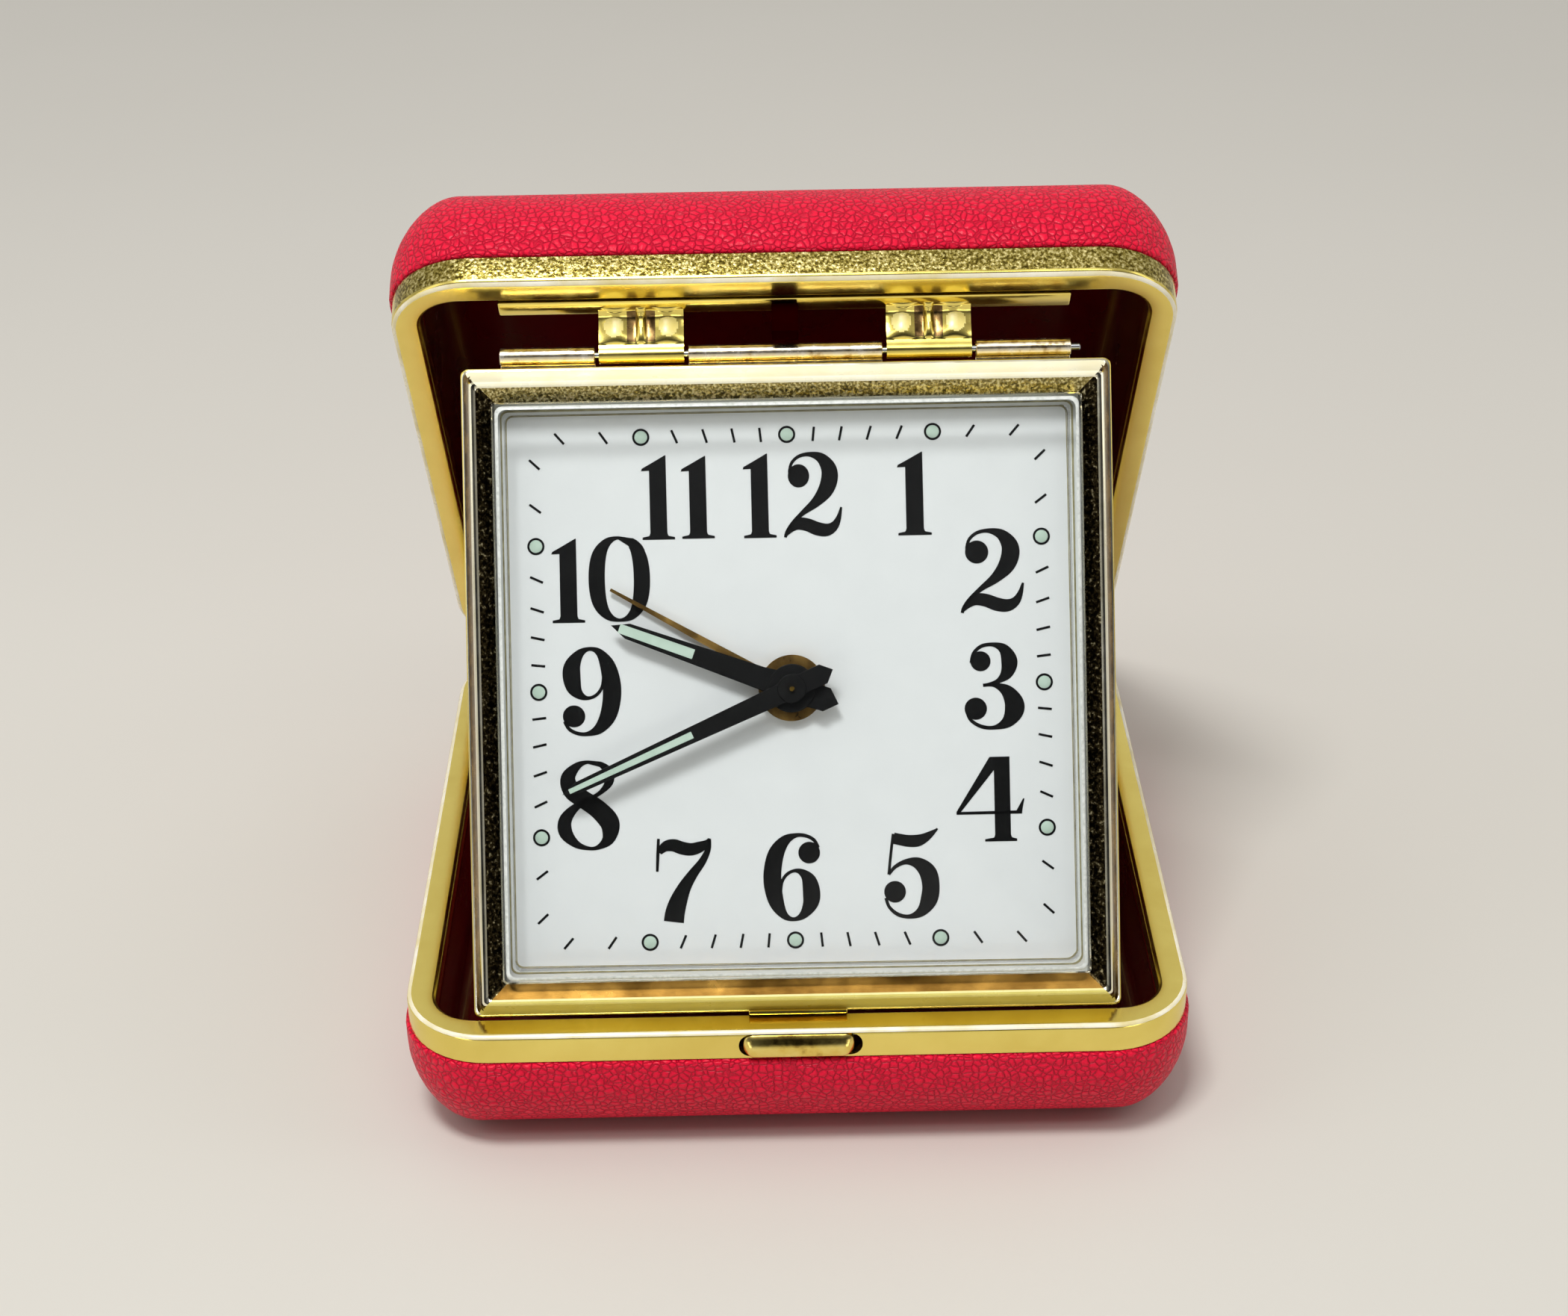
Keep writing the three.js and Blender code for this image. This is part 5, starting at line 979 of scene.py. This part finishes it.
# Each digit of the dial: its shells, the middle of its place, and its stretch
DIGITS = [
    (one, -2.62, 17.62, 0.97, 0.99),
    (two, 2.27, 17.6, 0.92, 1.0),
    (one, 11.6, 17.55, 1.0, 0.98),
    (two, 18.6, 10.3, 1.0, 0.99),
    (three, 18.5, -0.3, 1.0, 0.99),
    (four, 18.0, -10.7, 1.0, 1.0),
    (five, 10.8, -17.25, 1.0, 1.0),
    (six, -0.2, -17.4, 1.0, 1.0),
    (seven, -10.2, -17.5, 1.0, 1.0),
    (eight, -18.8, -10.45, 1.0, 1.0),
    (six, -18.35, 0.0, -1.03, -1.01),
    (one, -20.3, 10.2, 0.97, 0.99),
    (nought, -15.6, 10.3, 1.0, 1.0),
    (one, -11.95, 17.65, 0.97, 0.99),
    (one, -8.3, 17.6, 0.97, 0.97),
]
TRACK_HALF = 23.2


def on_track(minute):
    """The spot of a minute on the square track, and its direction from the centre."""
    angle = minute * 6 * DEG
    x, y = math.sin(angle), math.cos(angle)
    reach = TRACK_HALF / max(abs(x), abs(y))
    return reach * x, reach * y, x, y


def dial_print():
    black = []
    for digit, x, y, width, height in DIGITS:
        black += [shifted(shell, (x, y), width, height) for shell in digit()]
    green = []
    for minute in range(60):
        x, y, across_x, across_y = on_track(minute)
        if minute % 5:
            ends = [(x + s * 0.64 * across_x, y + s * 0.66 * across_y, 0.22) for s in (-1, 1)]
            black.append(stroke(ends))
        else:
            ring = [(0.59, PRINT_BACK), (0.79, PRINT_BACK), (0.79, PRINT_TOP), (0.59, PRINT_TOP)]
            black.append(lathe(ring, (x, y), 36, closed=True))
            dot = [(0.58, PRINT_BACK), (0.57, PRINT_TOP), (0.3, PRINT_TOP + 0.06)]
            green.append(lathe(dot, (x, y), 28))
    piece("dial_print", black, FACE_FRAME, "clock", [PRINT_BLACK], 20)
    piece("dial_lume", green, FACE_FRAME, "clock", [LUME], 40)


dial_print()

# Hands: angles clockwise from twelve, lengths from the centre
HAND_T = 0.25
HAND_POINT = 1.6
HOUR_ANGLE = 290.3
MINUTE_ANGLE = 246.2
ALARM_ANGLE = 299.6


def rotated(x, y, turn):
    return x * math.cos(turn) - y * math.sin(turn), x * math.sin(turn) + y * math.cos(turn)


def turned_to(angle, along, side):
    """A point of a hand, given along and across it."""
    return rotated(along, side, (90 - angle) * DEG)


def drawn_in(outline, amount):
    """A hand's outline with its sides and both tips moved inwards."""
    middle = sum(along for along, _ in outline) / len(outline)
    moved = []
    for along, side in outline:
        if side:
            moved.append((along, side - math.copysign(min(amount, abs(side) / 2), side)))
        else:
            moved.append((along - math.copysign(amount, along - middle), 0))
    return moved


def blade(outline, angle, top):
    """A flat hand with a slight bevel along its upper edge."""
    edge = 0.05
    rings = []
    for level, amount in ((top - HAND_T, 0), (top - edge, 0), (top, edge)):
        rings.append([(*turned_to(angle, *p), level) for p in drawn_in(outline, amount)])
    return skin(rings)


def pointed(length, root, taper, tail_half, tail_start, tail_end):
    """A hand's outline: a pointed tail, sides that taper from the root, and a point."""
    def half(radius):
        return (root - taper * radius) / 2

    shoulder = length - HAND_POINT
    upper = [(-tail_start, tail_half), (0, half(0)), (shoulder, half(shoulder))]
    lower = [(x, -y) for x, y in upper]
    return [(-tail_end, 0)] + lower + [(length, 0)] + list(reversed(upper))


def filling(start, end, start_w, end_w, angle, top):
    """Luminous paint in a hand, a little proud of it."""
    corners = [(start, -start_w / 2), (end, -end_w / 2), (end, end_w / 2), (start, start_w / 2)]
    return extrude([turned_to(angle, *p) for p in corners], top - 0.03, top + 0.05)


def hub(radius, bore, front, back):
    edge = 0.08
    profile = [(bore, back), (radius, back), (radius, front - edge), (radius - edge, front), (bore, front)]
    return lathe(profile, (0, 0), 64, closed=True)


def hand(name, shells, body, node):
    obj = piece(name, shells, FACE_FRAME, body, [HAND_BLACK], 30)
    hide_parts(node)


def hands():
    top = -1.3 + HAND_T / 2
    outline = [(-2.5, 0.5), (-2.5, -0.5), (18.9, -0.14), (18.9, 0.14)]
    pointer = extrude([turned_to(ALARM_ANGLE, *p) for p in outline], top - HAND_T, top)
    groove = lathe([(2.0, -1.02), (3.0, -1.02), (3.0, -0.98), (2.0, -0.98)], (0, 0), 64, closed=True)
    shells = [hub(3.0, 1.75, -1.02, -1.58), pointer, groove]
    obj = piece("alarm_pointer", shells, FACE_FRAME, "alarm_pointer", [BRASS_DARK], 30)
    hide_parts("alarm_hand")

    top = -0.4 + HAND_T / 2
    outline = pointed(17.5, 2.25, 0.05, 1.12, 3.35, 4.5)
    hand("hour_pointer", [hub(2.18, 1.2, -0.1, -0.7), blade(outline, HOUR_ANGLE, top)], "hour", "hour_hand")
    paint = filling(9.5, 16.7, 0.92, 0.86, HOUR_ANGLE, top)
    piece("hour_lume", [paint], FACE_FRAME, "hour", [LUME], 30)

    top = 0.45 + HAND_T / 2
    outline = pointed(23.1, 1.85, 0.035, 0.94, 3.14, 4.1)
    shells = [hub(1.3, 0.46, 0.7, 0.2), blade(outline, MINUTE_ANGLE, top)]
    hand("minute_pointer", shells, "minute", "minute_hand")
    paint = filling(10, 22.4, 0.65, 0.44, MINUTE_ANGLE, top)
    piece("minute_lume", [paint], FACE_FRAME, "minute", [LUME], 30)


hands()


# Hinges
def case_leaf(name, side, place, body, node):
    """A leaf with every second knuckle; the base's has the outermost ones."""
    leaf_t = 0.4
    leaf_far = side * 1.6
    low, high = sorted((side * 1.2, leaf_far))
    near, far = sorted((side * 0.85, leaf_far))
    shells = [rounded_block(-LEAF_HALF, LEAF_HALF, -HINGE_OUT - 1.7, -HINGE_OUT, low, high, 0.05)]
    for i in range(0 if side < 0 else 1, KNUCKLES, 2):
        x0 = -LEAF_HALF + KNUCKLE_W * i + GAP / 2
        x1 = x0 + KNUCKLE_W - GAP
        shells.append(rounded_block(x0, x1, -HINGE_OUT - leaf_t, leaf_t / 2, low, high, 0.05))
        shells.append(rounded_block(x0, x1, -leaf_t / 2, leaf_t / 2, near, far, 0.05))
        shells.append(tube_across(KNUCKLE_R, KNUCKLE_BORE, x0, x1, (0, 0)))
    obj = piece(name, shells, place, body, [GOLD])
    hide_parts(node)


def clock_leaf():
    """A strip with three tubes that leave room for the arms."""
    inner = ARM_X - ARM_W / 2 - 0.4
    outer = ARM_X + ARM_W / 2 + 0.4
    half = HANGER_W / 2
    top = SKIRT_HALF + GAP
    tube_at = (30.9, -0.9)
    shells = [rounded_block(-half, half, top, top + 0.5, SKIRT_END, -1.3, 0.05)]
    for x0, x1 in ((-half, -outer), (-inner, inner), (outer, half)):
        shells.append(tube_across(TUBE_R, 0.57, x0, x1, tube_at))
        shells.append(rounded_block(x0, x1, top, tube_at[0], -1.7, -1.3, 0.05))
    obj = piece("clock_leaf_gilt", shells, FACE_FRAME, "clock", [GOLD_ROSE])
    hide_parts("clock_hinge_leaf")


def case_pin():
    pin = rod_across(CASE_PIN_R, -PIN_REACH, PIN_REACH, (0, 0), 32)
    obj = piece("case_pin", [pin], BASE_FRAME, "base", [STEEL])
    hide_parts("case_hinge_pin")


case_leaf("base_leaf_gilt", -1, BASE_FRAME, "base", "base_hinge_leaf")
case_leaf("lid_leaf_gilt", 1, LID_FRAME, "lid", "lid_hinge_leaf")
case_pin()
clock_leaf()

# Back of the clock
CAN_HALF = 26
CAN_BACK = -13.5
CAN_T = 0.6
ARBOR_HOLE_R = 1.35
STEM_HOLE_R = 0.7
SCREW_HOLE_R = 0.9
TIME_BARREL = (-7.4246, -7.4246)
ALARM_BARREL = (11.5, -8.5)
TIME_SET = (2.1359, -12.1128)
ALARM_SET = (9.0933, 5.25)
STOP = (8.5, 17.5)
SCREWS = [(19.5, 19.5), (19.5, -19.5), (-19.5, -19.5)]
BALANCE = (-18.2468, 15.396)
KEY_BACK = -16.1


def back_can():
    edge = 0.8
    flange_back = -3.2
    flange_front = flange_back + CAN_T
    inner = CAN_HALF - CAN_T
    profile = [(CAN_HALF - edge + x, CAN_BACK + edge + y) for x, y in arc((0, 0), edge, -90, 0, 6)]
    profile += [(CAN_HALF, flange_back), (SEAT_HALF, flange_back), (SEAT_HALF, flange_front)]
    profile += [(inner, flange_front), (inner, CAN_BACK + edge), (CAN_HALF - edge, CAN_BACK + CAN_T)]
    rings = [rectangle_ring(size, size, 2.5, level, 0, 8) for size, level in profile]
    obj = piece("back_can_gilt", [skin(rings)], FACE_FRAME, "clock", [GOLD])
    behind = CAN_BACK - 1.5
    within = CAN_BACK + 1.5
    holes = [(at, ARBOR_HOLE_R, 40) for at in (TIME_BARREL, ALARM_BARREL)]
    holes += [(at, STEM_HOLE_R, 40) for at in (TIME_SET, ALARM_SET, STOP)]
    holes += [(at, SCREW_HOLE_R, 32) for at in SCREWS]
    for at, radius, sides in holes:
        cut(obj, lathe([(radius, behind), (radius, within)], at, sides), FACE_FRAME)
    x, y = BALANCE
    half = 3.04
    cut(obj, block(x + 4.418, x + 6.7, y - half, y + half, behind, within), FACE_FRAME)
    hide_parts("back_can")


def key_wing(at, lean, sign):
    """One looped wing of a key: a plate round a hole, flat where it joins the hub."""
    eye = 3.5
    reach = 2.5
    hole = 1.1
    join = 1.7
    edge = 0.12
    wing_front = -15.2
    levels = [(KEY_BACK + edge, 0), (wing_front - edge, 0), (wing_front, edge)]
    sides = 64

    def ring(inner, drawn, level):
        points = []
        for i in range(sides):
            angle = 2 * math.pi * i / sides
            radius = hole + drawn if inner else reach - drawn
            if not inner and math.cos(angle) < 0:
                radius = min(radius, -join / math.cos(angle))
            x, y = rotated(sign * (eye + radius * math.cos(angle)), radius * math.sin(angle), lean)
            points.append((at[0] + x, at[1] + y, level))
        return points

    rings = [ring(False, edge, KEY_BACK)] + [ring(False, drawn, level) for level, drawn in levels]
    rings += [ring(True, drawn, level) for level, drawn in reversed(levels)] + [ring(True, edge, KEY_BACK)]
    return skin(rings, closed=True)


def key(name, at, lean, body, node):
    hub_front = -13.8
    hub_bore = 1.3
    hub_profile = [
        (hub_bore, KEY_BACK), (1.7, KEY_BACK), (1.9, -16.02), (2.1, -15.82), (2.1, -14.0), (2.02, -13.86),
        (1.9, hub_front), (hub_bore, hub_front),
    ]
    shells = [lathe(hub_profile, at, 56, closed=True), key_wing(at, lean, 1), key_wing(at, lean, -1)]
    obj = piece(name, shells, FACE_FRAME, body, [GOLD])
    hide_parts(node)


def cap(name, at, body, radius, level):
    """A turned cap let into the end of a knob."""
    centre_r = 0.02
    profile = [
        (centre_r, level - 0.34), (radius * 0.5, level - 0.32), (radius * 0.85, level - 0.24),
        (radius, level - 0.1), (radius, level + 0.2), (centre_r, level + 0.2),
    ]
    piece(name, [lathe(profile, at, 56)], FACE_FRAME, body, [GOLD_BRIGHT], 50)


back_can()
key("time_key_gilt", TIME_BARREL, 20 * DEG, "time_winding", "time_key")
key("alarm_key_gilt", ALARM_BARREL, -20 * DEG, "alarm_winding", "alarm_key")
cap("time_set_cap", TIME_SET, "time_setting", 2.2, -15.4)
cap("alarm_set_cap", ALARM_SET, "alarm_setting", 2.2, -15.4)
cap("alarm_stop_cap", STOP, "alarm_stop", 1.2, -15.9)


# Floor, lamps, room and camera, in metres
FLOOR_HALF = 3.0
LAMP_TARGET = (0, 0, 0.04)
CAMERA_RIGHT = (0.9998, -0.0137, -0.0143)
CAMERA_UP = (0.0193, 0.499, 0.8664)
CAMERA_AT = (-0.00184, -0.23093, 0.16596)
CAMERA_LENS = 61.886


def floor():
    far = FLOOR_HALF
    mesh = bpy.data.meshes.new("floor")
    mesh.from_pydata([(-far, -far, 0), (far, -far, 0), (far, far, 0), (-far, far, 0)], [], [(0, 1, 2, 3)])
    mesh.materials.append(painted(
        "pale_floor", (0.65, 0.625, 0.57), (0.63, 0.605, 0.55), 0.7, 0.85, 6, grain=300, grain_height=0.01,
        shine=0.1,
    ))
    obj = new_object("floor", mesh)


def lamp(name, position, size, power):
    """A rectangular lamp that faces the object, its long side level."""
    light = bpy.data.lights.new(name, "AREA")
    light.shape = "RECTANGLE"
    light.size, light.size_y = size
    light.energy = power
    obj = new_object(name, light)
    away = (Vector(position) - Vector(LAMP_TARGET)).normalized()
    level = Vector((0, 0, 1)).cross(away).normalized()
    turn = Matrix((level, away.cross(level), away)).transposed().to_4x4()
    obj.matrix_world = Matrix.Translation(position) @ turn


def room():
    """Light from around: bright behind and above, dim in front, pale along the walls."""
    world = bpy.data.worlds.new("studio")
    bpy.context.scene.world = world
    world.use_nodes = True
    tree = world.node_tree
    link = tree.links.new
    backdrop = tree.nodes["Background"]
    backdrop.inputs["Strength"].default_value = 0.64
    direction = tree.nodes.new("ShaderNodeTexCoord").outputs["Generated"]
    towards = tree.nodes.new("ShaderNodeVectorMath")
    towards.operation = "DOT_PRODUCT"
    towards.inputs[1].default_value = (0, 0.6, 0.8)
    link(direction, towards.inputs[0])
    spread = add_node(tree, "ShaderNodeMapRange", From_Min=-1)
    link(towards.outputs["Value"], spread.inputs["Value"])
    light = ramp(tree, spread.outputs["Result"], [
        (0.42, (0.015, 0.015, 0.02)), (0.49, (0.12, 0.12, 0.13)), (0.7, (0.6, 0.6, 0.6)),
        (0.92, (1.0, 0.99, 0.97)),
    ])
    height = tree.nodes.new("ShaderNodeSeparateXYZ")
    link(direction, height.inputs["Vector"])
    horizon = add_node(tree, "ShaderNodeMapRange", From_Min=0.12, From_Max=0.3, To_Min=1, To_Max=0)
    link(height.outputs["Z"], horizon.inputs["Value"])
    walls = tree.nodes.new("ShaderNodeMix")
    walls.data_type = "RGBA"
    link(horizon.outputs["Result"], walls.inputs["Factor"])
    link(light, walls.inputs["A"])
    walls.inputs["B"].default_value = (0.92, 0.90, 0.86, 1)
    link(walls.outputs["Result"], backdrop.inputs["Color"])


def camera():
    """The photograph's viewpoint, from its right and up directions."""
    data = bpy.data.cameras.new("camera")
    data.sensor_fit = "HORIZONTAL"
    data.sensor_width = 36
    data.lens = CAMERA_LENS
    data.clip_start = 0.01
    data.clip_end = 20
    obj = new_object("camera", data)
    right = Vector(CAMERA_RIGHT).normalized()
    back = right.cross(Vector(CAMERA_UP)).normalized()
    up = back.cross(right)
    obj.matrix_world = Matrix.Translation(CAMERA_AT) @ Matrix((right, up, back)).transposed().to_4x4()
    bpy.context.scene.camera = obj


floor()
lamp("lamp_key", (-0.12, -0.25, 0.74), (0.2, 0.14), 3.6)
lamp("lamp_strip", (0, -0.38, 0.64), (0.6, 0.09), 0.55)
lamp("lamp_low_left", (-0.55, -0.8, 0.12), (0.3, 0.14), 0.35)
lamp("lamp_low_right", (0.55, -0.8, 0.12), (0.3, 0.14), 0.35)
lamp("lamp_left", (-0.75, -0.25, 0.5), (0.4, 0.6), 0.7)
lamp("lamp_right", (0.8, -0.1, 0.45), (0.3, 0.5), 0.5)
room()
camera()
bpy.context.scene.view_settings.view_transform = "Standard"
